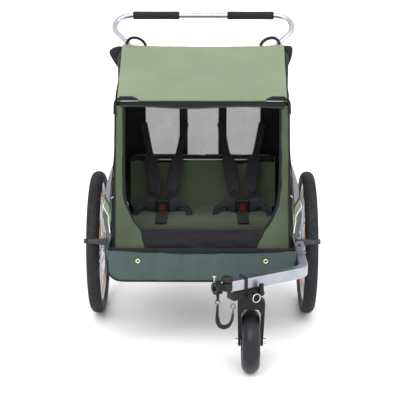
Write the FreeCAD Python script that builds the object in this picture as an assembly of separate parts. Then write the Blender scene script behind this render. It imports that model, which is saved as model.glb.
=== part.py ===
import FreeCAD, Part
import math
import os

# A two-seat child bicycle trailer in its pushing form, in millimetres, +Z up, front towards -Y.
# Lengths along Y are worked out from the rear axle and moved at the end, so that the origin is under the
# middle of the trailer. The trailer's own left side is +X.

V = FreeCAD.Vector
SIDES = (("left", 1), ("right", -1))
FIT = 0.05  # radial clearance of a turning or sliding fit
GAP = 0.4  # space between fabric and the frame beside it
ARC_SHARE = 0.45  # share of the shorter run that an arc of the hanging strap takes

# Rear wheels: 20 inch
WHEEL_R = 250.0
TYRE_WIDTH = 45.0
RIM_R = 210.0
RIM_WIDTH = 26.0
RIM_DEPTH = 14.0
TRACK = 732.0
WHEEL_X = TRACK / 2
HUB_R = 18.0
HUB_WIDTH = 44.0
FLANGE_R = 38.0
FLANGE_THICK = 4.0
AXLE_R = 6.0
SPOKES = 28
SPOKE_R = 1.1
CROSSING = 1.25  # half the distance between two spokes that cross
SPOKE_END = RIM_R - RIM_DEPTH - 0.5
AXLE_REACH = WHEEL_X + HUB_WIDTH / 2

# Parking brake: pawls on one shaft, and a notched ring on each hub
BRAKE_RING_R = 34.0
BRAKE_RING_OFF = 8.0
BRAKE_RING_THICK = 6.0
NOTCHES = 12
NOTCH_DEPTH = 7.0
BRAKE_SHAFT = (-44.0, 204.0)
BRAKE_SHAFT_R = 6.0
PEDAL_Y = 214.0

# Base frame
RAIL_X = 277.0
RAIL_Z = 290.0
RAIL_R = 14.0
RAIL_WALL = 2.0
RAIL_FRONT = -402.0
RAIL_BACK = 215.0
CROSS_R = 12.0
AXLE_TUBE_R = 14.0
SEAT_TUBE_Y = -250.0
SEAT_TUBE_TOP = 362.0
SEAT_TUBE_HALF = 244.0
SEAT_TUBE_R = 8.0
SEAT_TUBE_BEND = 30.0
CROSS_Y = (-384.0, SEAT_TUBE_Y, 200.0)
BRACKET_THICK = 4.0

# Hoops that fold
HOOP_R = 10.0
HOOP_WALL = 1.5
HOOP_BEND = 35.0
PIVOT_Z = 325.0
REAR_X = 288.0
REAR_PIVOT_Y = 190.0
REAR_TOP = (150.0, 905.0)
FRONT_X = 264.0
FRONT_PIVOT_Y = -395.0
FRONT_TOP = (-250.0, 803.0)
FOOT = 12.0
SLEEVE = 2.0
PIN_R = 4.0
CHEEK_GAP = HOOP_R + GAP
CHEEK_THICK = 3.0

# Handlebar
HANDLE_PIVOT = (182.0, 905.0)
HANDLE_LEG_X = 262.0
HANDLE_HALF = 318.0
HANDLE_RISE_DEG = 34.0
HANDLE_LENGTH = 180.0
HANDLE_BEND = 61.0
GRIP_R = 14.5
GRIP_FROM = 87.0
GRIP_TO = 254.0
LOOP_Y = (148.0, 156.0)
LOOP_OUTSIDE = ((208, 925), (211, 940), (224, 950), (250, 950), (262, 940), (265, 925))
LOOP_INSIDE = ((212, 925), (215, 938), (226, 946), (248, 946), (258, 938), (261, 925))

# Fabric body
SIDE_X = 276.4
CLOTH = 1.3
FLOOR_Z = 252.0
WALL_Y = -412.0
SKIRT_X = 300.0
HEM_Z = 354.0
SKIRT_TOP = 400.0
SKIRT_LOW = 268.0
EYELET_X = 203.0
EYELET_Z = 318.0
EYELET_R = 4.0
GUARD_Y = -284.0
GUARD_THICK = 14.0
GUARD_TIP = 376.0
GUARD_Z = 341.0
FLARE_TOP = 640.0
PANEL_TOP_X = 196.0
PANEL_TOP_Z = 412.0
THROUGH = 40.0  # a cut that passes right through a panel

# Seats
SEAT_X = 136.0
SEAT_HALF = 240.0
BUCKLE = (-105.0, 405.2)
BUTTON_R = 11.0
WEB_THICK = 3.0

# Hitch arm and front wheel
ARM_PIVOT = (318.0, -348.0)
ARM_ELBOW = (319.0, -482.0)
ARM_END = (86.0, -619.0)
ARM_Z = 306.0
ARM_WIDTH = 30.0
ARM_HEIGHT = 35.0
CASTER_X = 153.0
CASTER_Y = -586.0
CASTER_TRAIL = 36.0
FRONT_WHEEL_R = 100.0
FRONT_TYRE_WIDTH = 56.0
FRONT_RIM_R = 66.0
FRONT_HUB_HALF = 29.6
FRONT_AXLE_R = 5.0
WEB_HOLES = 5
WEB_HOLE_R = 11.0
WEB_HOLE_AT = 38.0
STEM_R = 9.0
FORK_HALF = 30.5
FORK_LEG = 10.0
CROWN_Z = 236.0
DOME_R = 19.0
DOME_HEIGHT = 15.0
STRAP_WIDTH = 14.0
STRAP_THICK = 2.0

NODES = {}
STRAP_NODES = ("safety_strap", "strap_fittings")


def save(name, *solids):
    """Adds solids to a node."""
    NODES.setdefault(name, []).extend(solids)


def write_nodes():
    """Writes each node's file, moved so that the origin is under the trailer's middle."""
    os.makedirs("parts", exist_ok=True)
    own = [solid for name, solids in NODES.items() if name not in STRAP_NODES for solid in solids]
    around = Part.makeCompound(own).optimalBoundingBox(False, False)
    shift = V(0, -around.Center.y, 0)
    print("moved along Y by", round(shift.y, 3), "box", around)
    for name, solids in NODES.items():
        shape = solids[0].copy() if len(solids) == 1 else Part.makeCompound(solids)
        shape.translate(shift)
        shape.exportStep("parts/" + name + ".step")


def box(x, y, z):
    """A box between two values of x, of y and of z, in either order."""
    lo = V(min(x), min(y), min(z))
    return Part.makeBox(max(x) - lo.x, max(y) - lo.y, max(z) - lo.z, lo)


def rod(start, end, radius):
    """A round bar between two points."""
    start, end = V(*start), V(*end)
    run = end - start
    return Part.makeCylinder(radius, run.Length, start, run)


def prism(points, plane, low, high):
    """A flat outline in plane 'yz', 'xz' or 'xy', pulled from low to high along the third axis."""
    place = {
        "yz": lambda a, b: V(low, a, b),
        "xz": lambda a, b: V(a, low, b),
        "xy": lambda a, b: V(a, b, low),
    }[plane]
    along = {"yz": V(1, 0, 0), "xz": V(0, 1, 0), "xy": V(0, 0, 1)}[plane]
    corners = [place(*p) for p in points]
    face = Part.Face(Part.makePolygon(corners + corners[:1]))
    return face.extrude(along * (high - low))


def path(points, bends=None):
    """Straight runs joined by tangent arcs. Without bends, each arc is as large as its runs allow."""
    points = [V(*p) for p in points]
    if bends is not None and not isinstance(bends, list):
        bends = [bends] * (len(points) - 2)
    edges = []
    start = points[0]
    for i, (before, corner, after) in enumerate(zip(points, points[1:], points[2:])):
        into, out = corner - before, after - corner
        half = into.getAngle(out) / 2
        arc = bends[i] if bends else ARC_SHARE * min(into.Length, out.Length) / math.tan(half)
        cut = arc * math.tan(half)
        into.normalize()
        out.normalize()
        first, last = corner - into * cut, corner + out * cut
        inward = out - into
        inward.normalize()
        middle = corner + inward * (arc / math.cos(half) - arc)
        edges.append(Part.LineSegment(start, first).toShape())
        edges.append(Part.Arc(first, middle, last).toShape())
        start = last
    edges.append(Part.LineSegment(start, points[-1]).toShape())
    return Part.Wire(edges)


def bent_rod(points, radius, bend=None):
    """A round bar along straight runs and arcs."""
    wire = path(points, bend)
    start, run = V(*points[0]), V(*points[1]) - V(*points[0])
    ring = Part.Wire(Part.makeCircle(radius, start, run))
    return wire.makePipeShell([ring], True, False)


def bent_tube(points, radius, wall, bend=None):
    """A hollow round tube along straight runs and arcs."""
    return bent_rod(points, radius, bend).cut(bent_rod(points, radius - wall, bend))


def tube_x(x, y, z, radius, wall):
    """A straight hollow tube between two values of x."""
    outer = rod((x[0], y, z), (x[1], y, z), radius)
    return outer.cut(rod((x[0], y, z), (x[1], y, z), radius - wall))


def turned(profile, centre):
    """A ring turned about the X axis through centre, from points of (x, radius)."""
    corners = [V(centre.x + x, centre.y, centre.z + r) for x, r in profile]
    face = Part.Face(Part.makePolygon(corners + corners[:1]))
    return face.revolve(centre, V(1, 0, 0), 360)


def rounded(shape, radius, edges=None):
    """The same solid with the chosen edges rounded, or all of them."""
    return shape.makeFillet(radius, edges or shape.Edges)


def rounded_top(solid, radius):
    """The same upright solid with the edge of its top rounded."""
    top = solid.BoundBox.ZMax
    return rounded(solid, radius, [e for e in solid.Edges if e.BoundBox.ZMin > top - 0.1])


# ---------------------------------------------------------------- base frame


def make_side_rails():
    """A rail on each side, and the plate outside it that carries the axle tube and the brake shaft."""
    plate = [(-64, 304), (-60, 200), (-50, 192), (-36, 192), (16, 234), (34, 304)]
    low = RAIL_X + RAIL_R
    for _, s in SIDES:
        ends = (s * RAIL_X, RAIL_FRONT, RAIL_Z), (s * RAIL_X, RAIL_BACK, RAIL_Z)
        save("side_rails", rod(*ends, RAIL_R).cut(rod(*ends, RAIL_R - RAIL_WALL)))
        bracket = prism(plate, "yz", s * low, s * (low + BRACKET_THICK))
        for (y, z), radius in (((0, WHEEL_R), AXLE_TUBE_R), (BRAKE_SHAFT, BRAKE_SHAFT_R + FIT)):
            bracket = bracket.cut(rod((s * (low - 5), y, z), (s * (low + 15), y, z), radius))
        save("axle_brackets", bracket)


def make_cross_members():
    """Straight tubes between the rails, the axle tube, and the raised tube under the seat's front edge."""
    inner = RAIL_X - RAIL_R
    for y in CROSS_Y:
        save("cross_tubes", tube_x((-inner, inner), y, RAIL_Z, CROSS_R, RAIL_WALL))
    reach = RAIL_X + RAIL_R + 30
    save("axle_tube", tube_x((-reach, reach), 0, WHEEL_R, AXLE_TUBE_R, AXLE_TUBE_R - AXLE_R))
    corners = ((-1, RAIL_Z + CROSS_R), (-1, SEAT_TUBE_TOP), (1, SEAT_TUBE_TOP), (1, RAIL_Z + CROSS_R))
    route = [(k * SEAT_TUBE_HALF, SEAT_TUBE_Y, z) for k, z in corners]
    save("cross_tubes", bent_tube(route, SEAT_TUBE_R, HOOP_WALL, SEAT_TUBE_BEND))


def hinge_bracket(x, y):
    """Two cheeks on a small base, for one foot of a hoop."""
    cheek = [(y - 16, 304), (y + 16, 304), (y + 12, 337), (y - 12, 337)]
    outer = CHEEK_GAP + CHEEK_THICK
    solid = prism(cheek, "yz", x - outer, x - CHEEK_GAP)
    solid = solid.fuse(prism(cheek, "yz", x + CHEEK_GAP, x + outer))
    solid = solid.fuse(box((x - outer, x + outer), (y - 16, y + 16), (304, 307)))
    pin = rod((x - 30, y, PIVOT_Z), (x + 30, y, PIVOT_Z), PIN_R)
    return solid.cut(pin).removeSplitter()


def hinge_pin(x, y):
    """A pin with a round head at each end, outside the cheeks."""
    reach = CHEEK_GAP + CHEEK_THICK
    pin = rod((x - reach, y, PIVOT_Z), (x + reach, y, PIVOT_Z), PIN_R)
    for end in (-1, 1):
        pin = pin.fuse(rod((x + end * reach, y, PIVOT_Z), (x + end * (reach + 2.5), y, PIVOT_Z), 7.0))
    return pin.removeSplitter()


def make_hinges():
    for _, s in SIDES:
        for x, y in ((FRONT_X, FRONT_PIVOT_Y), (REAR_X, REAR_PIVOT_Y)):
            save("hinge_brackets", hinge_bracket(s * x, y))
            save("hinge_pins", hinge_pin(s * x, y))


def hoop_route(x, pivot_y, top):
    """The centre line of a hoop, from one foot, a little below its pivot, over the top to the other."""
    up = V(0, top[0] - pivot_y, top[1] - PIVOT_Z)
    up.normalize()
    foot = V(x, pivot_y, PIVOT_Z) - up * FOOT
    return [(x, foot.y, foot.z), (x, *top), (-x, *top), (-x, foot.y, foot.z)]


def make_hoops():
    for name, x, y, top in (
        ("rear_hoop", REAR_X, REAR_PIVOT_Y, REAR_TOP),
        ("front_hoop", FRONT_X, FRONT_PIVOT_Y, FRONT_TOP),
    ):
        tube = bent_tube(hoop_route(x, y, top), HOOP_R, HOOP_WALL, HOOP_BEND)
        for s in (1, -1):
            tube = tube.cut(rod((s * (x - 30), y, PIVOT_Z), (s * (x + 30), y, PIVOT_Z), PIN_R + FIT))
        save(name, tube)


def make_corner_sleeves():
    """Black sleeves round the front hoop's top corners."""
    for _, s in SIDES:
        route = hoop_route(s * FRONT_X, FRONT_PIVOT_Y, FRONT_TOP)
        solid = bent_rod(route, HOOP_R + SLEEVE, HOOP_BEND).cut(bent_rod(route, HOOP_R, HOOP_BEND))
        keep = box((s * 205, s * 290), (-320, -200), (758, 830))
        save("corner_sleeves", solid.common(keep))


def guard_outline(s, grow=0.0):
    """One guard seen from the front: wide where it leaves the frame, narrow at its cap."""
    foot, neck = 284.0 - grow, 300.0
    lower = [(foot, 296 - grow), (neck, 296 - grow), (322, 328 - grow), (GUARD_TIP, GUARD_Z - 5 - grow)]
    upper = [(GUARD_TIP, GUARD_Z + 5 + grow), (neck, 350 + grow), (foot, 350 + grow)]
    return [(s * x, z) for x, z in lower + upper]


def make_guards():
    """A tapered plate in front of each tyre, with a rubber cap on its end."""
    for _, s in SIDES:
        plate = prism(guard_outline(s), "xz", GUARD_Y - GUARD_THICK / 2, GUARD_Y + GUARD_THICK / 2)
        rail = rod((s * RAIL_X, RAIL_FRONT, RAIL_Z), (s * RAIL_X, RAIL_BACK, RAIL_Z), RAIL_R)
        save("wheel_guards", rounded(plate, 2.5).cut(rail))
        cap = rod((s * GUARD_TIP, GUARD_Y, GUARD_Z), (s * (GUARD_TIP + 12), GUARD_Y, GUARD_Z), 8.5)
        save("wheel_guards", rounded(cap, 3.0))


# ---------------------------------------------------------------- handlebar


def handle_point(x, along):
    """A point of the handlebar's own plane, along its rise from the pivots."""
    rise = math.radians(HANDLE_RISE_DEG)
    return (x, HANDLE_PIVOT[0] + along * math.cos(rise), HANDLE_PIVOT[1] + along * math.sin(rise))


def make_handlebar():
    half = [(HANDLE_LEG_X, -10), (HANDLE_LEG_X, 22), (HANDLE_HALF, 96), (HANDLE_HALF, HANDLE_LENGTH)]
    legs = [handle_point(x, s) for x, s in half]
    legs_back = [handle_point(-x, s) for x, s in reversed(half)]
    wire = path(legs + legs_back, [40.0, 70.0, HANDLE_BEND, HANDLE_BEND, 70.0, 40.0])
    start, run = V(*legs[0]), V(*legs[1]) - V(*legs[0])
    tube = wire.makePipeShell([Part.Wire(Part.makeCircle(HOOP_R, start, run))], True, False)
    bar = handle_point(0, HANDLE_LENGTH)
    for _, s in SIDES:
        ends = (s * GRIP_FROM, *bar[1:]), (s * GRIP_TO, *bar[1:])
        tube = tube.cut(rod(*ends, HOOP_R + 1).cut(rod(*ends, HOOP_R - 0.5)))
        save("grips", rounded(rod(*ends, GRIP_R), 3.0).cut(rod(*ends, HOOP_R - 0.5)))
        pin = rod((s * 240, *HANDLE_PIVOT), (s * 290, *HANDLE_PIVOT), PIN_R + FIT)
        tube = tube.cut(pin)
    save("handlebar", tube)


def make_knuckles():
    """A clamp on the rear hoop's top bar that carries one leg of the handlebar."""
    y, z = HANDLE_PIVOT
    for _, s in SIDES:
        inner, outer = 224.0, HANDLE_LEG_X - HOOP_R - GAP
        clamp = rod((s * inner, *REAR_TOP), (s * outer, *REAR_TOP), HOOP_R + 3)
        ear = rod((s * inner, y, z), (s * outer, y, z), 11.0)
        arm = box((s * inner, s * outer), (REAR_TOP[0], y), (z - 9, z + 9))
        solid = clamp.fuse([ear, arm]).cut(rod((s * inner, *REAR_TOP), (s * outer, *REAR_TOP), HOOP_R))
        solid = solid.cut(rod((s * inner, y, z), (s * outer, y, z), PIN_R))
        save("handle_knuckles", solid.removeSplitter())
        pin = rod((s * inner, y, z), (s * (HANDLE_LEG_X + HOOP_R + 1), y, z), PIN_R)
        head = rod((s * (HANDLE_LEG_X + HOOP_R + 1), y, z), (s * (HANDLE_LEG_X + HOOP_R + 3), y, z), 7.0)
        save("handle_knuckles", pin.fuse(head).removeSplitter())


def make_loops():
    """A thin webbing loop above the canopy's rear edge on each side."""
    for _, s in SIDES:
        outer = prism([(s * x, z) for x, z in LOOP_OUTSIDE], "xz", *LOOP_Y)
        save("webbing_loops", outer.cut(prism([(s * x, z) for x, z in LOOP_INSIDE], "xz", *LOOP_Y)))


# ---------------------------------------------------------------- rear wheels


def tyre_profile(width, inner, outer):
    """Half-round tread with straight side walls, as points of (x, radius)."""
    half, shoulder = width / 2, outer - 14
    crown = [
        (half * math.cos(a), shoulder + (outer - shoulder) * math.sin(a))
        for a in (math.pi * i / 12 for i in range(13))
    ]
    return [(half - 7, inner), *crown, (7 - half, inner)]


def on_circle(x, radius, turn):
    """A point of a circle about the rear axle."""
    return (x, radius * math.cos(turn), WHEEL_R + radius * math.sin(turn))


def make_spokes(x):
    """Straight spokes from each flange to the rim, alternating sides and leaning both ways."""
    solids = []
    flange = HUB_WIDTH / 2 - FLANGE_THICK / 2
    for i in range(SPOKES):
        side = 1 if i % 2 else -1
        way = 1 if i % 4 < 2 else -1
        lean = math.radians(38) * way
        turn = 2 * math.pi * i / SPOKES
        start = on_circle(x + side * flange + way * CROSSING, FLANGE_R - 5, turn + lean)
        end = on_circle(x + side * 3 + way * CROSSING, SPOKE_END, turn)
        solids.append(rod(start, end, SPOKE_R))
    return solids


def make_rear_wheels():
    for side, s in SIDES:
        x = s * WHEEL_X
        centre = V(x, 0, WHEEL_R)
        save("tyre_" + side, turned(tyre_profile(TYRE_WIDTH, RIM_R, WHEEL_R), centre))
        half, inner = RIM_WIDTH / 2, RIM_R - RIM_DEPTH
        right = [(half, RIM_R - 0.2), (half, RIM_R - 9), (half - 7, inner)]
        save("rim_" + side, turned(right + [(-a, r) for a, r in reversed(right)], centre))
        hub = hub_solid(x, s)
        save("spoked_hub_" + side, hub, *[spoke.cut(hub) for spoke in make_spokes(x)])


def hub_solid(x, s):
    """A hub with a flange at each end and a notched brake ring beside the frame."""
    half = HUB_WIDTH / 2
    inner = x - s * (half + BRAKE_RING_OFF)
    hub = rod((inner, 0, WHEEL_R), (x + s * half, 0, WHEEL_R), HUB_R)
    for end in (-1, 1):
        edge = x + end * half
        hub = hub.fuse(rod((edge, 0, WHEEL_R), (edge - end * FLANGE_THICK, 0, WHEEL_R), FLANGE_R))
    hub = hub.fuse(rod((inner, 0, WHEEL_R), (inner + s * BRAKE_RING_THICK, 0, WHEEL_R), BRAKE_RING_R))
    for i in range(NOTCHES):
        rows = BRAKE_RING_R - NOTCH_DEPTH, BRAKE_RING_R + 5
        notch = box((inner, inner + s * BRAKE_RING_THICK), (-4.5, 4.5), rows)
        notch.rotate(V(), V(1, 0, 0), 360 * i / NOTCHES)
        notch.translate(V(0, 0, WHEEL_R))
        hub = hub.cut(notch)
    hub = hub.cut(rod((inner, 0, WHEEL_R), (x + s * half, 0, WHEEL_R), AXLE_R + FIT))
    return hub.removeSplitter()


def make_axles():
    """Plug-in axles, fixed in the axle tube, each with a push button in its outer end."""
    for side, s in SIDES:
        outer = AXLE_REACH + 3
        axle = rod((s * 250, 0, WHEEL_R), (s * outer, 0, WHEEL_R), AXLE_R)
        cap = rod((s * (AXLE_REACH + GAP), 0, WHEEL_R), (s * outer, 0, WHEEL_R), 11.0)
        hole = rod((s * (outer - 8), 0, WHEEL_R), (s * outer, 0, WHEEL_R), 4.0 + FIT)
        save("axles", axle.fuse(cap).cut(hole).removeSplitter())
        button = rod((s * (outer - 4), 0, WHEEL_R), (s * (outer + 3), 0, WHEEL_R), 4.0)
        save("axle_button_" + side, button)


# ---------------------------------------------------------------- parking brake


def make_brake():
    """One shaft ahead of the axle: a pawl beside each hub, and a long arm back to the foot pedal."""
    reach = WHEEL_X - HUB_WIDTH / 2 - BRAKE_RING_OFF + BRAKE_RING_THICK
    y, z = BRAKE_SHAFT
    shaft = rod((-reach, y, z), (reach, y, z), BRAKE_SHAFT_R)
    tip = -BRAKE_RING_R - 1.5
    side = [(y - 7, z - 6), (y + 7, z - 6), (y + 4, WHEEL_R - 6)]
    tooth = [(tip, WHEEL_R - 2.4), (tip, WHEEL_R + 2.4), (y + 3, WHEEL_R + 5), (y - 5, WHEEL_R + 5)]
    for s in (1, -1):
        shaft = shaft.fuse(prism(side + tooth, "yz", s * (reach - BRAKE_RING_THICK + 1), s * reach))
    arm = rounded(box((-9, 9), (y, PEDAL_Y), (z - 4, z + 4)), 2.0)
    save("brake_shaft", shaft.fuse(arm).removeSplitter())
    pedal = rounded(box((-45, 45), (PEDAL_Y, PEDAL_Y + 46), (z - 8, z + 8)), 4.0)
    save("brake_pedal", pedal)


# ---------------------------------------------------------------- fabric body


def slanted(y, z, lean_from, lean_to, off):
    """A point beside the line from lean_from to lean_to, off millimetres in front of it."""
    run = V(0, lean_to[0] - lean_from[0], lean_to[1] - lean_from[1])
    share = (z - lean_from[1]) / run.z
    run.normalize()
    return V(0, lean_from[0] + share * (lean_to[0] - lean_from[0]) - off / run.z, z)


def leaning_panel(outline, off, thick):
    """A panel in front of the front hoop, from an outline of (x, z)."""
    def at(x, z, extra):
        p = slanted(0, z, (FRONT_PIVOT_Y, PIVOT_Z), FRONT_TOP, off + extra)
        return V(x, p.y, p.z)

    corners = [at(x, z, 0) for x, z in outline]
    face = Part.Face(Part.makePolygon(corners + corners[:1]))
    step = at(0, 500, thick) - at(0, 500, 0)
    return face.extrude(step)


def opening_outline():
    """The front opening: straight sides that curve in to a narrow bottom edge."""
    half = [(252, 788), (252, 560), (246, 505), (236, 462), (216, 428), (PANEL_TOP_X, PANEL_TOP_Z)]
    return half + [(-x, z) for x, z in reversed(half)]


def panel_outline(low, grow):
    """The black panel under the opening, narrower at its bottom, made larger by grow."""
    inward = (PANEL_TOP_Z - low) * 0.345
    top = PANEL_TOP_X + grow
    half = [(top, PANEL_TOP_Z + grow / 2), (top - inward, low)]
    return half + [(-x, z) for x, z in reversed(half)]


def make_front():
    """The border round the front opening and the black panel below it."""
    low = 357.0
    outer = [(276, low + 3), (276, 788), (-276, 788), (-276, low + 3)]
    lower = panel_outline(low, 0)
    hole = leaning_panel(opening_outline(), 0, THROUGH)
    hole = hole.fuse(leaning_panel(panel_outline(low - 17, GAP), 0, THROUGH))
    off = HOOP_R + SLEEVE + GAP
    border = leaning_panel(outer, off, 2.0)
    save("front_surround", border.cut(hole))
    save("front_lower_panel", leaning_panel(lower, off, 3.0))


def side_outline():
    """A side of the cabin, between the hoops and under the canopy."""
    front = [slanted(0, z, (FRONT_PIVOT_Y, PIVOT_Z), FRONT_TOP, HOOP_R) for z in (342, 800)]
    back = [slanted(0, z, (REAR_PIVOT_Y, PIVOT_Z), REAR_TOP, 0) for z in (862, 342)]
    return [(p.y, p.z) for p in front] + [(-240, 812), (134, 906), (136, 872)] + [(p.y, p.z) for p in back]


def make_sides():
    """Flat upper sides with a window each, and flared lower sides that meet the skirt."""
    window = [(-236, 660), (-206, 782), (110, 864), (124, 660)]
    flare_gap = [(-352, 342), (-310, FLARE_TOP - 2), (132, FLARE_TOP - 2), (132, 342)]
    for _, s in SIDES:
        low, high = s * SIDE_X, s * (SIDE_X + CLOTH)
        panel = prism(side_outline(), "yz", low, high)
        panel = panel.cut(prism(window, "yz", s * 270, s * 290))
        save("side_panels", panel.cut(prism(flare_gap, "yz", s * 270, s * 290)))
        save("mesh_windows", prism(window, "yz", low, high))
        shell = flare_loft(s, 0).cut(flare_loft(s, 2.5))
        reach = GUARD_THICK / 2 + 2
        hole = prism(guard_outline(s, 2.0), "xz", GUARD_Y - reach, GUARD_Y + reach)
        skirt = shell.common(box((s * 280, s * 340), (WALL_Y + 0.5, 140), (SKIRT_LOW, SKIRT_TOP)))
        skirt = skirt.cut(hole)
        if s > 0:
            skirt = skirt.cut(box((280, 345), (-374, -322), (279, 334)))  # the arm's bracket
            skirt = skirt.cut(box((280, 345), (-368, -360), (333, 372)))  # its upright ear
        save("skirt_sides", skirt)
        upper = shell.common(box((s * 278, s * 340), (-385, 140), (SKIRT_TOP + 0.5, FLARE_TOP)))
        save("side_flares", upper.common(prism(side_outline(), "yz", s * 270, s * 345)))


def flare_loft(s, inset):
    """The flared lower side as a solid, from its inner plane out to its skin, less inset."""
    sections = (
        (WALL_Y + 0.5, ((262, 300), (354, 300), (SKIRT_TOP, 290), (480, 283), (FLARE_TOP, 279.5))),
        (-300, ((262, 301), (354, 303), (SKIRT_TOP, 303), (480, 295), (FLARE_TOP, 281))),
        (-190, ((262, 316), (354, 324), (SKIRT_TOP, 328), (480, 318), (FLARE_TOP, 282))),
        (-20, ((262, 312), (354, 320), (SKIRT_TOP, 324), (480, 314), (FLARE_TOP, 281))),
        (140, ((262, 304), (354, 304), (SKIRT_TOP, 303), (480, 294), (FLARE_TOP, 279.5))),
    )
    wires = []
    back = 262 if inset else 278
    for y, rows in sections:
        skin = [V(s * (x - inset), y, z) for z, x in rows]
        corners = [V(s * back, y, 262), *skin, V(s * back, y, FLARE_TOP)]
        wires.append(Part.makePolygon(corners + corners[:1]))
    return Part.makeLoft(wires, True, True)


def make_skirt_front():
    """The front wall of the footwell, with rounded bottom corners and two eyelet holes."""
    half, low = SKIRT_X, 250.0
    outline = [(half, HEM_Z), (half, 285), (half - 8, 265), (half - 26, 254), (half - 48, low)]
    outline = outline + [(-x, z) for x, z in reversed(outline)]
    wall = prism(outline, "xz", WALL_Y, WALL_Y - 3)
    for _, s in SIDES:
        x = s * EYELET_X
        wall = wall.cut(rod((x, WALL_Y + 5, EYELET_Z), (x, WALL_Y - 5, EYELET_Z), EYELET_R))
    save("skirt_front", wall)


def make_floor():
    """The floor: a deep footwell in front and a flat floor under the seats."""
    y0, y1, y2 = WALL_Y, -130.0, 196.0
    low, high, cloth = FLOOR_Z, 268.0, 3.0
    outline = [
        (y0, low), (y1, low), (y1 + 20, high), (y2, high),
        (y2, high + cloth), (y1 + 18, high + cloth), (y1 - 2, low + cloth), (y0, low + cloth),
    ]  # fmt: skip
    floor = prism(outline, "yz", -258, 258)
    save("floor", floor)


def make_rear_wall():
    """The rear wall between the rear hoop's legs, with three mesh windows."""
    line = (REAR_PIVOT_Y, PIVOT_Z), REAR_TOP
    rows = (340.0, 889.0)
    corners = [slanted(0, z, *line, off) for z, off in zip((*rows, *reversed(rows)), (0, 0, 2.5, 2.5))]
    outline = [(p.y, p.z) for p in corners]
    wall = prism(outline, "yz", -275, 275)
    half = [(275, 330), (275, 852), (250, 895)]
    wall = wall.common(prism(half + [(-x, z) for x, z in reversed(half)], "xz", 100, 250))
    top, low, cut = 790, 530, 30
    outer = [(205, top), (81, top), (81, low), (205 - cut, low), (205, low + cut)]
    middle = [(-54, top), (54, top), (54, low), (-54, low)]
    for hole in (outer, middle, [(-x, z) for x, z in outer]):
        pane = prism(hole, "xz", 100, 250)
        save("mesh_windows", wall.common(pane))
        wall = wall.cut(pane)
    save("rear_wall", wall)


def make_canopy():
    """One sheet from the rear hoop over the front hoop, and a hem that hangs from its front edge."""
    outline = [
        (160, 918), (150, 920), (-252, 818), (-264, 812), (-268, 800),
        (-270.5, 800), (-266, 814), (-254, 821.5), (150, 924.5), (160, 922),
    ]  # fmt: skip
    save("canopy", prism(outline, "yz", -271, 271))
    hem = [(-274, 798), (-270.6, 798), (-279, 772), (-282.5, 772)]
    save("canopy", prism(hem, "yz", -262, 262))


def make_seats():
    base = [(-262, 371), (60, 352), (60, 374), (-250, 394), (-264, 386)]
    save("seat_base", prism(base, "yz", -SEAT_HALF, SEAT_HALF))
    back = [(62, 352), (84, 352), (124, 538), (102, 538)]
    save("seat_back", prism(back, "yz", -SEAT_HALF, SEAT_HALF))


def make_harnesses():
    """Per child: shoulder pads with their webbing, waist and crotch straps, crotch pad, buckle and button."""
    y, z = BUCKLE
    for side, s in SIDES:
        c = s * SEAT_X
        for k in (-1, 1):
            pad = [(88, 524), (97, 520), (-65, 431), (-74, 435)]
            save("shoulder_pads", prism(pad, "yz", c + k * 24, c + k * 68))
            web = [(94, 560), (98, 560), (103, 541), (98, 528), (94, 528)]
            save("harness_webbing", prism(web, "yz", c + k * 34, c + k * 58))
            waist = [(c + k * 69, z - 2), (c + k * 94, z - 20), (c + k * 94, z - 4), (c + k * 69, z + 16)]
            save("harness_webbing", prism(waist, "xz", y + 18, y + 18 + WEB_THICK))
        crotch = [(-165, 389.9), (-110, 386.4), (-110, 386.4 + WEB_THICK), (-165, 389.9 + WEB_THICK)]
        save("harness_webbing", prism(crotch, "yz", c - 19, c + 19))
        wing = [(68, 30), (60, -8), (22, -20), (-22, -20), (-60, -8), (-68, 30), (0, 22)]
        save("crotch_pads", prism([(c + a, z + b) for a, b in wing], "xz", y + 12, y + 28))
        shell = rounded(box((c - 24, c + 24), (y, y + 11.7), (z - 20, z + 28)), 5.0)
        save("buckles", shell.cut(rod((c, y - 12, z), (c, y + 6, z), BUTTON_R + 2 * FIT)))
        save("buckle_button_" + side, rod((c, y - 3, z), (c, y + 3, z), BUTTON_R))


# ---------------------------------------------------------------- hitch arm and front wheel


def make_hitch_bracket():
    """The corner bracket on the left rail: two plates with the arm between them, and the pivot pin."""
    x, y = ARM_PIVOT
    low, high = ARM_Z - ARM_HEIGHT / 2 - GAP, ARM_Z + ARM_HEIGHT / 2 + GAP
    web_x = RAIL_X + RAIL_R
    solid = box((web_x, web_x + 5), (y - 24, y + 24), (low - 5, high + 5))
    for z0, z1 in ((low - 5, low), (high, high + 5)):
        plate = box((web_x, x), (y - 18, y + 18), (z0, z1))
        solid = solid.fuse([plate, Part.makeCylinder(18, z1 - z0, V(x, y, z0))])
    ear = box((x - 17, x + 9), (y - 18, y - 14), (high + 5, high + 44))
    ear = rounded(ear, 6.0, [e for e in ear.Edges if abs(e.tangentAt(e.FirstParameter).y) > 0.9])
    ear = ear.cut(rod((x - 5, y - 30, high + 30), (x - 5, y, high + 30), 5.0))
    solid = solid.fuse(ear).cut(Part.makeCylinder(7, 200, V(x, y, low - 60)))
    save("hitch_bracket", solid.removeSplitter())
    pin = Part.makeCylinder(7, high - low + 10, V(x, y, low - 5))
    head = rounded(Part.makeCylinder(12, 7, V(x, y, high + 5)), 2.0)
    foot = Part.makeCylinder(10, 3, V(x, y, low - 8))
    save("arm_pivot_pin", pin.fuse([head, foot]).removeSplitter())


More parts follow.
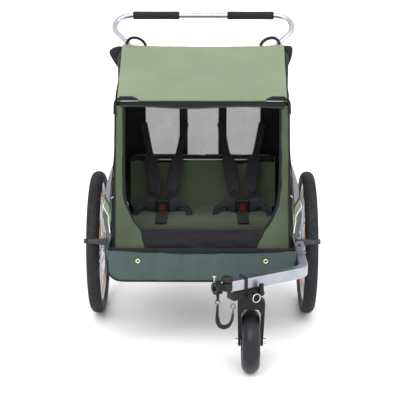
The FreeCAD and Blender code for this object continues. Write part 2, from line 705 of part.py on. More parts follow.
def arm_solid(width, height):
    """A square-section bar along the arm's two straight runs and its bend."""
    wire = path([(*ARM_PIVOT, ARM_Z), (*ARM_ELBOW, ARM_Z), (*ARM_END, ARM_Z)], 52.0)
    x, y = ARM_PIVOT
    half, tall = width / 2, height / 2
    run = V(*ARM_ELBOW, 0) - V(*ARM_PIVOT, 0)
    run.normalize()
    side = V(run.y, -run.x, 0) * half
    centre = V(x, y, ARM_Z)
    corners = [centre + side + V(0, 0, tall), centre - side + V(0, 0, tall)]
    corners += [centre - side - V(0, 0, tall), centre + side - V(0, 0, tall)]
    profile = Part.makePolygon(corners + corners[:1])
    return wire.makePipeShell([profile], True, False)


def make_arm():
    x, y = ARM_PIVOT
    tube = arm_solid(ARM_WIDTH, ARM_HEIGHT)
    tube = rounded(tube, 4.0, [e for e in tube.Edges if e.Length > 60])
    root = Part.makeCylinder(ARM_WIDTH / 2, ARM_HEIGHT, V(x, y, ARM_Z - ARM_HEIGHT / 2))
    tube = tube.cut(arm_solid(ARM_WIDTH - 6, ARM_HEIGHT - 6)).fuse(root)
    tube = tube.cut(Part.makeCylinder(7 + FIT, 100, V(x, y, ARM_Z - 50)))
    save("hitch_arm", tube.removeSplitter())


def arm_frame():
    """The arm's end point and the unit vectors along it and across it."""
    along = V(*ARM_END, 0) - V(*ARM_ELBOW, 0)
    along.normalize()
    return V(*ARM_END, ARM_Z), along, V(-along.y, along.x, 0)


def make_hitch_head():
    """Elastomer, hitch head with its socket, hitch pin and the bracket under the arm's end."""
    end, along, across = arm_frame()
    elastomer = Part.makeCylinder(17, 14, end, along).fuse(Part.makeCone(17, 12, 10, end + along * 14, along))
    neck = V(*(end + along * 9)[:2], ARM_Z)
    roof = V(neck.x, neck.y, ARM_Z + ARM_HEIGHT / 2 + GAP)
    dome = rounded_top(Part.makeCylinder(DOME_R, DOME_HEIGHT, roof), DOME_HEIGHT - 2)
    elastomer = elastomer.fuse([Part.makeCylinder(7, roof.z - ARM_Z, neck), dome])
    save("elastomer", elastomer.removeSplitter())
    start = end + along * 24
    head = Part.makeCylinder(11, 10, start, along).fuse(Part.makeCylinder(19, 20, start + along * 10, along))
    socket = Part.makeCylinder(8, 14, start + along * 16, along)
    lug_at = start + along * 14 - across * 25
    lug = box((lug_at.x - 7, lug_at.x + 7), (lug_at.y - 7, lug_at.y + 7), (ARM_Z - 8, ARM_Z + 8))
    head = head.fuse(lug).cut(socket)
    pin_at = V(lug_at.x, lug_at.y, 0)
    head = head.cut(Part.makeCylinder(3 + FIT, 60, V(pin_at.x, pin_at.y, ARM_Z - 30)))
    save("hitch_head", head.removeSplitter())
    pin = Part.makeCylinder(3, 44, V(pin_at.x, pin_at.y, ARM_Z - 16))
    top = Part.makeCylinder(6, 4, V(pin_at.x, pin_at.y, ARM_Z + 28))
    save("hitch_pin", pin.fuse(top).removeSplitter())


def make_wheel_mount():
    """The clamp under the arm that takes the caster, its lever, and the box under the arm's end."""
    _, along, across = arm_frame()
    low = ARM_Z - ARM_HEIGHT / 2
    turn = math.degrees(math.atan2(along.y, along.x))

    def beside(length, width, height, at, z):
        block = Part.makeBox(length, width, height, V(-length / 2, -width / 2, 0))
        block.rotate(V(), V(0, 0, 1), turn)
        block.translate(V(at.x, at.y, z))
        return block

    def on_arm(x):
        return V(x, ARM_END[1] + (x - ARM_END[0]) * along.y / along.x, 0)

    seat = V(CASTER_X, CASTER_Y, 0)
    clamp = beside(48, 44, 24, seat, low - 24)
    clamp = rounded(clamp, 4.0, [e for e in clamp.Edges if abs(e.tangentAt(e.FirstParameter).z) > 0.9])
    clamp = clamp.cut(Part.makeCylinder(STEM_R + FIT, 24, V(*seat[:2], low - 24)))
    save("arm_end_bracket", beside(40, 38, 26, on_arm(105), low - 26))
    strap_at = on_arm(128)
    hook = beside(7, ARM_WIDTH + 11, ARM_HEIGHT + 16, strap_at, low - 10)
    hook = hook.cut(beside(9, ARM_WIDTH + 1, ARM_HEIGHT + 40, strap_at, low - 39.5))
    save("wheel_mount_strap", hook.cut(clamp))
    front = across if across.y < 0 else -across
    face = 22 - (seat - on_arm(CASTER_X)).dot(-front)
    pivot = on_arm(166) + V(0, 0, low - 12)
    shaft = Part.makeCylinder(4, 12, pivot + front * (face - 2), front)
    save("wheel_mount", clamp.cut(shaft))
    save("wheel_mount", shaft)
    lever = Part.makeCylinder(9, 9, pivot + front * (face + GAP), front)
    blade = beside(12, 9, 30, pivot + front * (face + GAP + 4.5), pivot.z)
    lever = lever.fuse(blade).cut(Part.makeCylinder(4 + FIT, 40, pivot, front))
    save("mount_lever", lever.removeSplitter())
    pull = seat + along * 8 + V(0, 0, low - 10)
    save("wheel_mount", Part.makeCylinder(2.5, 24, pull + front * 21, front).cut(clamp))
    save("pull_ring", Part.makeTorus(13, 1.3, pull + front * 42 - V(0, 0, 9.2), front))


def make_fork():
    """The caster fork: a stem in the mount, a crown and two legs that trail back to the axle."""
    low = ARM_Z - ARM_HEIGHT / 2
    x, y = CASTER_X, CASTER_Y
    axle_y = y + CASTER_TRAIL
    inner, outer, foot = FORK_HALF, FORK_HALF + FORK_LEG, FRONT_WHEEL_R - 13
    half = [(19, CROWN_Z + 28), (outer + 1, CROWN_Z + 8), (outer + 1, CROWN_Z - 12), (outer - 2, foot)]
    half += [(inner, foot), (inner, CROWN_Z - 30), (inner - 10, CROWN_Z - 12)]
    front = [(x + a, b) for a, b in half] + [(x - a, b) for a, b in reversed(half)]
    side = [
        (y - 18, CROWN_Z + 28), (y + 16, CROWN_Z + 28), (y + 22, CROWN_Z), (axle_y + 15, FRONT_WHEEL_R + 10),
        (axle_y + 9, foot), (axle_y - 9, foot), (axle_y - 15, FRONT_WHEEL_R + 10), (y - 21, CROWN_Z - 8),
    ]  # fmt: skip
    fork = prism(front, "xz", y - 60, axle_y + 60).common(prism(side, "yz", x - 60, x + 60))
    stem = Part.makeCylinder(STEM_R, low - CROWN_Z - 14, V(x, y, CROWN_Z + 10))
    fork = fork.fuse(stem)
    axle = rod((x - 60, axle_y, FRONT_WHEEL_R), (x + 60, axle_y, FRONT_WHEEL_R), FRONT_AXLE_R)
    save("caster_fork", fork.cut(axle).removeSplitter())


def make_front_axle():
    """A plain axle through both fork legs with a nut at each end."""
    y, reach = CASTER_Y + CASTER_TRAIL, FORK_HALF + FORK_LEG
    ends = [(CASTER_X + k * (reach + 6), y, FRONT_WHEEL_R) for k in (-1, 1)]
    save("front_axle", rod(*ends, FRONT_AXLE_R))
    for k in (-1, 1):
        near, far = CASTER_X + k * reach, CASTER_X + k * (reach + 8)
        nut = rod((near, y, FRONT_WHEEL_R), (far, y, FRONT_WHEEL_R), 9.0)
        save("front_axle", nut.cut(rod(*ends, FRONT_AXLE_R)))


def make_front_wheel():
    """A wide tyre on a moulded wheel with round holes through its web."""
    centre = V(CASTER_X, CASTER_Y + CASTER_TRAIL, FRONT_WHEEL_R)
    save("front_tyre", turned(tyre_profile(FRONT_TYRE_WIDTH, FRONT_RIM_R, FRONT_WHEEL_R), centre))
    half = [(FRONT_HUB_HALF, FRONT_AXLE_R + FIT), (FRONT_HUB_HALF, 16), (16, 20), (16, 56)]
    half += [(20, FRONT_RIM_R - 0.2)]
    wheel = turned(half + [(-a, r) for a, r in reversed(half)], centre)
    for i in range(WEB_HOLES):
        turn = 2 * math.pi * i / WEB_HOLES
        at = centre + V(-40, WEB_HOLE_AT * math.cos(turn), WEB_HOLE_AT * math.sin(turn))
        wheel = wheel.cut(Part.makeCylinder(WEB_HOLE_R, 80, at, V(1, 0, 0)))
    save("front_rim", wheel)


# ---------------------------------------------------------------- safety strap


def strap_route():
    """The hanging webbing, from the ring under the hitch head to the slider under the bracket."""
    y = ARM_END[1] - 28
    return [
        (50, y, 256), (49, y, 236), (48, y, 213), (53, y, 190),
        (70, y, 182), (86, y, 191), (94, y, 208), (96, y, 227),
    ]  # fmt: skip


def make_strap():
    """The hanging strap, the ring at its top and the slider and snap hook at its low end."""
    wire = path(strap_route())
    start = V(*strap_route()[0])
    half, flat = V(0, STRAP_WIDTH / 2, 0), V(STRAP_THICK / 2, 0, 0)
    corners = [start - half - flat, start + half - flat, start + half + flat, start - half + flat]
    strap = wire.makePipeShell([Part.makePolygon(corners + corners[:1])], True, False)
    save("safety_strap", strap)
    x, y, z = strap_route()[0]
    save("strap_fittings", Part.makeTorus(7, 1.2, V(x, y, z + 8.2), V(0, 1, 0)))
    x, y, z = strap_route()[-1]
    slider = box((x - 2.5, x + 2.5), (y - 9, y + 9), (z + 0.1, z + 8))
    save("strap_fittings", slider)
    eye = Part.makeTorus(6, 1.8, V(x, y, z + 25.5), V(0, 1, 0))
    hook = Part.makeCylinder(2.5, 12, V(x, y, z + 8)).fuse(eye)
    save("strap_fittings", hook.removeSplitter())


def main():
    make_side_rails()
    make_cross_members()
    make_hinges()
    make_hoops()
    make_corner_sleeves()
    make_guards()
    make_handlebar()
    make_knuckles()
    make_loops()
    make_rear_wheels()
    make_axles()
    make_brake()
    make_front()
    make_sides()
    make_skirt_front()
    make_floor()
    make_rear_wall()
    make_canopy()
    make_seats()
    make_harnesses()
    make_hitch_bracket()
    make_arm()
    make_hitch_head()
    make_wheel_mount()
    make_fork()
    make_front_axle()
    make_front_wheel()
    make_strap()
    write_nodes()


main()
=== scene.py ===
import math

import bpy
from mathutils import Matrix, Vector, noise


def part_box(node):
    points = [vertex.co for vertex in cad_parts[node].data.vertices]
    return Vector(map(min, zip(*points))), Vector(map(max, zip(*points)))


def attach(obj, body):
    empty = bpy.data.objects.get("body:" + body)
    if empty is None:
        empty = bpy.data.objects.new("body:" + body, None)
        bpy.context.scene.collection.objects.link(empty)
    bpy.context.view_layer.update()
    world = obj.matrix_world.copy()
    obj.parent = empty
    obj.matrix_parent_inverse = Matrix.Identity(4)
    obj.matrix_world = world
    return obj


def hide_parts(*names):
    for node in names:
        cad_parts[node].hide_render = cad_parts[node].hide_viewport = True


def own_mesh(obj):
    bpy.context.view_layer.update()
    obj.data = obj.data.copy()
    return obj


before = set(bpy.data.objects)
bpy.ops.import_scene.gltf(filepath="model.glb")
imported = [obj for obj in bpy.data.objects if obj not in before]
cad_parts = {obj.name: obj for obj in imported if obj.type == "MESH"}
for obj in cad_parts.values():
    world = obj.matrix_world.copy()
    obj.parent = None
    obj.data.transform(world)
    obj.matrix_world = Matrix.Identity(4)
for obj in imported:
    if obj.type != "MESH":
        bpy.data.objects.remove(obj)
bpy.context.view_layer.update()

# A two-seat child bicycle trailer. Sizes are in millimetres from the point under the middle of the rear
# axle, as in the CAD source: +X is the trailer's left side, -Y its front. at() turns them into the row frame.

MM = 0.001
AXLE_Y = sum(corner.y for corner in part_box("axle_tube")) / 2
SIDES = (("left", 1), ("right", -1))

CAMERA_PLACE = (28, -4032, 1519)
CAMERA_PITCH = math.radians(15.47)
CAMERA_YAW = math.radians(0.53)
CAMERA_LENS = 107.8

WORLD_STRENGTH = 1.1
SUNS = (  # name, strength, spread and turn in degrees
    ("sun_front", 2.1, 50, (42, 0, -18)),
    ("sun_side", 0.75, 60, (50, 0, 60)),
)
FLOOR_HALF = 40.0  # metres, far enough that its edge is out of every picture

WHEEL_X = 366
REAR_R, FRONT_R = 250, 100
RIM_R, FRONT_RIM_R = 210, 66
FRONT_WHEEL = (153, -550, FRONT_R)
SEAT_X = 136
SEAT_HALF = 240
BACK_HALF = 256
EYELET = (203, -421, 318)
HANDLE_RISE = math.radians(34)
HANDLE_PIVOT = (182, 905)
HANDLE_LENGTH = 180
GRIP_X = 170.5

FOLD_Z = 340  # the height that it folds down to


def at(x, y, z):
    """A point given in millimetres from the rear axle, in the row frame."""
    return Vector((x * MM, y * MM + AXLE_Y, z * MM))


def front_hoop_y(z, off):
    """How far back the front hoop's plane is at height z, off millimetres in front of its tubes' centre."""
    return -395 + (z - 325) * 145 / 478 - off * 1.045


def rear_hoop_y(z):
    """How far back the rear hoop's tubes are at height z."""
    return 190 - 40 * (z - 325) / 580


# ---------------- camera, light and floor


def make_camera():
    data = bpy.data.cameras.new("camera")
    data.lens = CAMERA_LENS
    data.sensor_width = 36
    camera = bpy.data.objects.new("camera", data)
    camera.location = at(*CAMERA_PLACE)
    camera.rotation_euler = (math.pi / 2 - CAMERA_PITCH, 0, CAMERA_YAW)
    bpy.context.scene.collection.objects.link(camera)
    bpy.context.scene.camera = camera


def make_light():
    world = bpy.data.worlds.new("studio")
    world.use_nodes = True
    background = world.node_tree.nodes["Background"]
    background.inputs["Color"].default_value = (1, 1, 1, 1)
    background.inputs["Strength"].default_value = WORLD_STRENGTH
    bpy.context.scene.world = world
    for name, strength, spread, turn in SUNS:
        data = bpy.data.lights.new(name, "SUN")
        data.energy = strength
        data.angle = math.radians(spread)
        sun = bpy.data.objects.new(name, data)
        sun.rotation_euler = [math.radians(a) for a in turn]
        bpy.context.scene.collection.objects.link(sun)
    bpy.context.scene.view_settings.view_transform = "Standard"


def make_floor():
    corners = [(-FLOOR_HALF, -FLOOR_HALF, 0), (FLOOR_HALF, -FLOOR_HALF, 0)]
    corners += [(FLOOR_HALF, FLOOR_HALF, 0), (-FLOOR_HALF, FLOOR_HALF, 0)]
    mesh = bpy.data.meshes.new("studio_floor")
    mesh.from_pydata(corners, [], [(0, 1, 2, 3)])
    mesh.materials.append(plain("studio_floor", (250, 250, 250), 0.9))
    floor = bpy.data.objects.new("studio_floor", mesh)
    bpy.context.scene.collection.objects.link(floor)


# ---------------- materials


def linear(colour):
    """A colour of 0 to 255 steps as linear light, with full opacity."""
    return [((c / 255 + 0.055) / 1.055) ** 2.4 if c > 10 else c / 255 / 12.92 for c in colour] + [1]


class Nodes:
    """The nodes of one new material, and short calls that add and join them."""

    def __init__(self, name):
        self.material = bpy.data.materials.new(name)
        self.material.use_nodes = True
        self.tree = self.material.node_tree
        self.shader = self.tree.nodes["Principled BSDF"]
        self.place = self.add("ShaderNodeTexCoord").outputs["Object"]

    def add(self, kind, inputs=(), **settings):
        node = self.tree.nodes.new(kind)
        for key, value in settings.items():
            setattr(node, key, value)
        for key, value in dict(inputs).items():
            if isinstance(value, bpy.types.NodeSocket):
                self.tree.links.new(value, node.inputs[key])
            else:
                node.inputs[key].default_value = value
        return node

    def noise(self, scale, detail=2.0, rough=0.5):
        found = self.add("ShaderNodeTexNoise", {"Vector": self.place, "Scale": scale, "Detail": detail})
        found.inputs["Roughness"].default_value = rough
        return found.outputs["Fac"]

    def bands(self, scale, direction):
        """Fine threads or ribs across one direction: X, Y, Z or DIAGONAL."""
        wave = self.add(
            "ShaderNodeTexWave", {"Vector": self.place, "Scale": scale}, bands_direction=direction
        )
        return wave.outputs["Fac"]

    def math(self, how, a, b):
        return self.add("ShaderNodeMath", {0: a, 1: b}, operation=how).outputs[0]

    def ramp(self, value, low, high, at_low=0.4, at_high=0.6):
        """Goes from one colour to another as value goes from at_low to at_high."""
        ramp = self.add("ShaderNodeValToRGB", {"Fac": value})
        first, last = ramp.color_ramp.elements
        first.position, last.position = at_low, at_high
        first.color, last.color = low, high
        return ramp.outputs["Color"]

    def paint(self, socket, value):
        self.tree.links.new(value, self.shader.inputs[socket])

    def set(self, **values):
        for key, value in values.items():
            self.shader.inputs[key.replace("_", " ")].default_value = value

    def bump(self, layers):
        """Adds up layers of (height, strength, distance in metres)."""
        normal = None
        for height, strength, distance in layers:
            inputs = {"Height": height, "Strength": strength, "Distance": distance}
            if normal is not None:
                inputs["Normal"] = normal
            normal = self.add("ShaderNodeBump", inputs).outputs["Normal"]
        self.paint("Normal", normal)


def scaled(colour, share):
    return [min(255, c * share) for c in colour]


def plain(name, colour, roughness):
    """A matt surface with a very faint mottle."""
    n = Nodes(name)
    n.paint("Base Color", n.ramp(n.noise(3), linear(scaled(colour, 0.98)), linear(scaled(colour, 1.01))))
    n.set(Roughness=roughness)
    return n.material


def cloth(name, colour, fade=0.1, thread=900, crease=0.5, sheen=0.12):
    """Woven polyester: two crossed sets of threads, soft creases, and a slow change of shade."""
    n = Nodes(name)
    dark, light = linear(scaled(colour, 1 - fade)), linear(scaled(colour, 1 + fade))
    broad = n.ramp(n.noise(5, 3), dark, light, 0.3, 0.7)
    fine = n.ramp(n.noise(1400, 1), (0.86, 0.86, 0.86, 1), (1.08, 1.08, 1.08, 1), 0.3, 0.7)
    mixed = n.add("ShaderNodeMix", {0: 1.0, 6: broad, 7: fine}, data_type="RGBA", blend_type="MULTIPLY")
    n.paint("Base Color", mixed.outputs[2])
    n.paint("Roughness", n.math("ADD", n.math("MULTIPLY", n.noise(40, 2), 0.16), 0.64))
    n.set(Sheen_Weight=sheen, Sheen_Roughness=0.5, Specular_IOR_Level=0.2)
    weave = n.math("MAXIMUM", n.bands(thread, "DIAGONAL"), n.bands(thread, "Z"))
    n.bump([(n.noise(16, 3, 0.55), crease, 0.006), (weave, 0.35, 0.0004)])
    return n.material


def webbing(name, colour):
    """Ribbed nylon tape, a little worn and shiny on the ribs."""
    n = Nodes(name)
    ribs = n.math("MAXIMUM", n.bands(330, "DIAGONAL"), n.bands(420, "X"))
    n.paint("Base Color", n.ramp(ribs, linear(scaled(colour, 0.75)), linear(scaled(colour, 1.2)), 0.2, 0.8))
    n.paint("Roughness", n.ramp(n.noise(60), (0.5, 0.5, 0.5, 1), (0.72, 0.72, 0.72, 1)))
    n.set(Sheen_Weight=0.05, Sheen_Roughness=0.4, Specular_IOR_Level=0.25)
    n.bump([(ribs, 0.5, 0.0006), (n.noise(90, 2), 0.2, 0.0008)])
    return n.material


def net(name, colour, across, pitch=260, solid=0.36):
    """Knitted window mesh: two sets of threads with holes between them that light passes through."""
    n = Nodes(name)
    threads = n.math("MAXIMUM", n.bands(pitch, across), n.bands(pitch, "Z"))
    dark, light = linear(scaled(colour, 0.8)), linear(scaled(colour, 1.15))
    n.paint("Base Color", n.ramp(threads, dark, light, 0.3, 0.9))
    n.paint("Alpha", n.ramp(threads, (0, 0, 0, 1), (1, 1, 1, 1), solid, solid + 0.12))
    n.set(Roughness=0.7, Specular_IOR_Level=0.25)
    n.bump([(threads, 0.5, 0.0005), (n.noise(12, 2), 0.5, 0.008)])
    return n.material


def metal(name, colour, roughness, grain=0.05, brushed=500):
    """Bare or anodised metal with fine drawing marks and faint smudges."""
    n = Nodes(name)
    dark, light = linear(scaled(colour, 0.94)), linear(scaled(colour, 1.04))
    n.paint("Base Color", n.ramp(n.noise(14, 3), dark, light, 0.35, 0.65))
    smudge = n.ramp(n.noise(30, 4), [roughness - grain] * 3 + [1], [roughness + grain] * 3 + [1], 0.3, 0.7)
    n.paint("Roughness", smudge)
    n.set(Metallic=1.0)
    n.bump([(n.noise(brushed, 2), 0.06, 0.0004)])
    return n.material


def moulded(name, colour, roughness, grain=700, depth=0.25, shine=0.4):
    """Moulded plastic or powder coat: a fine pebbled grain, and paler scuffs on a few spots."""
    n = Nodes(name)
    dark, light = linear(scaled(colour, 0.93)), linear(scaled(colour, 1.18))
    scuff = n.ramp(n.noise(35, 5, 0.65), dark, light, 0.45, 0.75)
    n.paint("Base Color", scuff)
    n.paint("Roughness", n.ramp(n.noise(50, 3), [roughness - 0.07] * 3 + [1], [roughness + 0.07] * 3 + [1]))
    n.set(Specular_IOR_Level=shine)
    n.bump([(n.noise(grain, 2), depth, 0.0004)])
    return n.material


def rubber(name, colour, roughness, dust=1.25):
    """Tyre rubber: mould lines, a fine grain, and dust in patches."""
    n = Nodes(name)
    patches = n.ramp(n.noise(22, 5, 0.6), linear(scaled(colour, 0.9)), linear(scaled(colour, dust)), 0.4, 0.8)
    n.paint("Base Color", patches)
    n.paint("Roughness", n.ramp(n.noise(45, 3), [roughness - 0.08] * 3 + [1], [roughness + 0.1] * 3 + [1]))
    n.set(Specular_IOR_Level=0.28)
    n.bump([(n.noise(600, 2), 0.3, 0.0004), (n.bands(160, "X"), 0.15, 0.0004)])
    return n.material


def foam(name, colour):
    """Closed-cell grip foam: small round pores and a soft, matt skin."""
    n = Nodes(name)
    pores = n.add("ShaderNodeTexVoronoi", {"Vector": n.place, "Scale": 520}).outputs["Distance"]
    n.paint("Base Color", n.ramp(pores, linear(scaled(colour, 0.8)), linear(scaled(colour, 1.15)), 0.1, 0.6))
    n.paint("Roughness", n.ramp(n.noise(80), (0.75, 0.75, 0.75, 1), (0.92, 0.92, 0.92, 1)))
    n.set(Specular_IOR_Level=0.15, Sheen_Weight=0.05)
    n.bump([(pores, 0.4, 0.0006)])
    return n.material


def reflector_plastic(name, colour):
    """Amber prismatic reflector."""
    n = Nodes(name)
    prisms = n.math("MAXIMUM", n.bands(240, "Y"), n.bands(240, "Z"))
    n.paint("Base Color", n.ramp(prisms, linear(scaled(colour, 0.85)), linear(scaled(colour, 1.1)), 0.2, 0.8))
    n.paint("Roughness", n.ramp(n.noise(50), (0.12, 0.12, 0.12, 1), (0.25, 0.25, 0.25, 1)))
    n.set(Coat_Weight=0.6, Coat_Roughness=0.05, Specular_IOR_Level=0.6)
    n.bump([(prisms, 0.5, 0.0006)])
    return n.material


def make_materials():
    return {
        "canopy": cloth("canopy_cloth", (115, 127, 102), 0.04, crease=0.3),
        "strip": cloth("strip_cloth", (66, 76, 57), 0.12),
        "dark_green": cloth("dark_green_cloth", (40, 48, 37), 0.1),
        "seat": cloth("seat_cloth", (60, 69, 53), 0.08, crease=0.7),
        "seat_back": cloth("seat_back_cloth", (76, 87, 68), 0.08, crease=0.7),
        # The valance colour is near black: partly the hem's own dark cloth, partly painted shade matching the
        # shadowed strip under the canopy's front edge.
        "valance": cloth("valance_cloth_painted_shade", (13, 18, 11), 0.1),
        "band": cloth("band_cloth", (99, 116, 75), 0.06),
        "teal": cloth("teal_cloth", (61, 77, 74), 0.06, crease=0.6),
        "black": cloth("black_cloth", (21, 20, 24), 0.12, sheen=0.03),
        "pad": cloth("pad_cloth", (42, 40, 46), 0.1, thread=600, crease=0.9, sheen=0.04),
        "webbing": webbing("black_webbing", (28, 28, 31)),
        "piping": webbing("white_piping", (235, 235, 230)),
        "window": net("rear_window_net", (120, 120, 128), "X"),
        "side_window": net("side_window_net", (112, 112, 119), "Y", solid=0.12),
        "handle": metal("handlebar_aluminium", (190, 191, 196), 0.24),
        "arm": metal("arm_aluminium", (164, 167, 175), 0.38, brushed=900),
        "frame": metal("frame_aluminium", (172, 173, 178), 0.33),
        "bracket": metal("bracket_aluminium", (128, 129, 134), 0.42),
        "dark_steel": metal("dark_steel", (104, 104, 108), 0.3),
        "steel": metal("bright_steel", (210, 210, 212), 0.2),
        "brass": metal("eyelet_brass", (224, 216, 170), 0.3),
        "coat": moulded("dark_powder_coat", (58, 58, 65), 0.5),
        "guard": moulded("guard_plastic", (50, 50, 56), 0.5),
        "plastic": moulded("black_plastic", (15, 15, 18), 0.5, shine=0.25),
        "tyre": rubber("rear_tyre_rubber", (30, 30, 34), 0.66),
        "front_tyre": rubber("front_tyre_rubber", (25, 24, 29), 0.42),
        "dome": rubber("elastomer_rubber", (28, 28, 32), 0.45),
        "foam": foam("grip_foam", (33, 32, 36)),
        "red": moulded("red_button", (84, 18, 22), 0.35),
        "amber": reflector_plastic("amber_reflector", (240, 120, 30)),
    }


# ---------------- mesh helpers


def add_piece(name, points, faces, paint, body, kinds=None):
    """A smooth mesh on one body. paint is one material or several, and kinds says which each face has."""
    mesh = bpy.data.meshes.new(name)
    mesh.from_pydata([tuple(p) for p in points], [], faces)
    for one in paint if isinstance(paint, list) else [paint]:
        mesh.materials.append(one)
    if kinds:
        mesh.polygons.foreach_set("material_index", kinds)
    mesh.validate()
    mesh.update()
    mesh.shade_smooth()
    piece = bpy.data.objects.new(name, mesh)
    bpy.context.scene.collection.objects.link(piece)
    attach(piece, body)
    return piece


def grid(name, place, rows, columns, paint, kind=None, closed=False):
    """A sheet on the base from place(u, v), both 0 to 1. kind(u, v) picks each face's material."""
    across = columns if closed else columns + 1
    points = [place(j / columns, i / rows) for i in range(rows + 1) for j in range(across)]
    faces, kinds = [], []
    for i in range(rows):
        for j in range(columns):
            after = (j + 1) % across
            low, high = i * across, (i + 1) * across
            faces.append((low + j, low + after, high + after, high + j))
            kinds.append(kind((j + 0.5) / columns, (i + 0.5) / rows) if kind else 0)
    return add_piece(name, points, faces, paint, "base", kinds)


def smooth_line(points, steps):
    """The points of a rounded line that starts and ends at the first and last points."""
    points = [Vector(p) for p in points]
    for _ in range(steps):
        cut = [points[0]]
        for a, b in zip(points, points[1:]):
            cut += [a.lerp(b, 0.25), a.lerp(b, 0.75)]
        points = cut + [points[-1]]
    return points


def along_line(points, t):
    """The point at share t of a line's length."""
    lengths = [(b - a).length for a, b in zip(points, points[1:])]
    left = t * sum(lengths)
    for a, b, length in zip(points, points[1:], lengths):
        if left <= length:
            return a.lerp(b, left / length if length else 0)
        left -= length
    return points[-1].copy()


def sweep(name, line, outline, paint, body="base", up=(0, 0, 1), twist=None, swell=None):
    """A closed outline of (side, up) millimetres along a line. twist(t) turns it, swell(t) scales it."""
    count = len(line)
    rings = []
    for i, point in enumerate(line):
        t = i / (count - 1)
        along = (line[min(i + 1, count - 1)] - line[max(i - 1, 0)]).normalized()
        side = along.cross(Vector(up)).normalized()
        top = side.cross(along)
        turn = twist(t) if twist else 0
        size = MM * (swell(t) if swell else 1)
        wide = side * math.cos(turn) + top * math.sin(turn)
        tall = top * math.cos(turn) - side * math.sin(turn)
        rings.append([point + wide * a * size + tall * b * size for a, b in outline])
    n = len(outline)
    points = [p for ring in rings for p in ring]
    faces = [
        (i * n + j, i * n + (j + 1) % n, (i + 1) * n + (j + 1) % n, (i + 1) * n + j)
        for i in range(count - 1)
        for j in range(n)
    ]
    faces += [tuple(reversed(range(n))), tuple((count - 1) * n + j for j in range(n))]
    return add_piece(name, points, faces, paint, body)


def circle(radius, sides=10, flat=1.0):
    """A round outline, or an oval one where flat is the height as a share of the width."""
    turns = [2 * math.pi * i / sides for i in range(sides)]
    return [(radius * math.cos(a), radius * flat * math.sin(a)) for a in turns]


def tape(width, thick):
    """The outline of a webbing tape with soft edges."""
    w, t = width / 2, thick / 2
    e = min(w, t) * 0.6
    low = [(-w, -t + e), (-w + e, -t), (0, -t), (w - e, -t), (w, -t + e)]
    return low + [(-a, -b) for a, b in low]


def lathe(name, centre, profile, segments, paint, body, tread=None):
    """A closed profile of (x, radius) turned about the X axis. tread(k, j) adds height at segment k."""
    n = len(profile)
    points = []
    for k in range(segments):
        turn = 2 * math.pi * k / segments
        for j, (x, r) in enumerate(profile):
            r += tread(k, j) if tread else 0
            points.append(centre + Vector((x, r * math.cos(turn), r * math.sin(turn))) * MM)
    faces = []
    for k in range(segments):
        here, after = k * n, (k + 1) % segments * n
        faces += [(here + j, here + (j + 1) % n, after + (j + 1) % n, after + j) for j in range(n)]
    return add_piece(name, points, faces, paint, body)


def rumple(point, size, height, seed=0.0):
    """A smooth, repeatable height in metres at a point, from folds about size metres across."""
    where = Vector(point) / size + Vector((seed, seed * 0.7, -seed))
    return noise.noise(where) * height


def fold(*found, anchor=FOLD_Z):
    """Gives each of these pieces its own copy of its mesh."""
    for piece in found:
        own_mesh(piece)


# ---------------- safety strap

STRAP_ROUTE = (
    (50, -647, 256), (49, -647, 236), (48, -647, 213), (53, -647, 190),
    (70, -647, 182), (86, -647, 191), (94, -647, 208), (96, -647, 227),
)
HOOK_OUTLINE = ((0, 8), (0, 14), (-5, 19), (-7, 26), (-2, 32), (5, 30), (7, 23), (3, 16))
STRAP_WIDTH = 14


def strap_line():
    """The strap's centre line: a smooth NURBS curve with the route as its control points."""
    curve = bpy.data.curves.new("strap_route", "CURVE")
    curve.dimensions = "3D"
    spline = curve.splines.new("NURBS")
    spline.points.add(len(STRAP_ROUTE) - 1)
    for control, place in zip(spline.points, STRAP_ROUTE):
        control.co = (*at(*place), 1)
    spline.order_u = 3
    spline.use_endpoint_u = True
    spline.resolution_u = 10
    holder = bpy.data.objects.new("strap_route", curve)
    bpy.context.scene.collection.objects.link(holder)
    bpy.context.view_layer.update()
    mesh = bpy.data.meshes.new_from_object(holder.evaluated_get(bpy.context.evaluated_depsgraph_get()))
    line = [v.co.copy() for v in mesh.vertices]
    bpy.data.objects.remove(holder)
    return line


def torus_line(centre, radius, normal, count=28, share=1.0):
    """Points round a ring, or round a share of it."""
    turn = Vector((0, 0, 1)).rotation_difference(Vector(normal))
    found = []
    for i in range(count + 1):
        a = 2 * math.pi * share * i / count
        found.append(centre + turn @ Vector((math.cos(a), math.sin(a), 0)) * radius * MM)
    return found


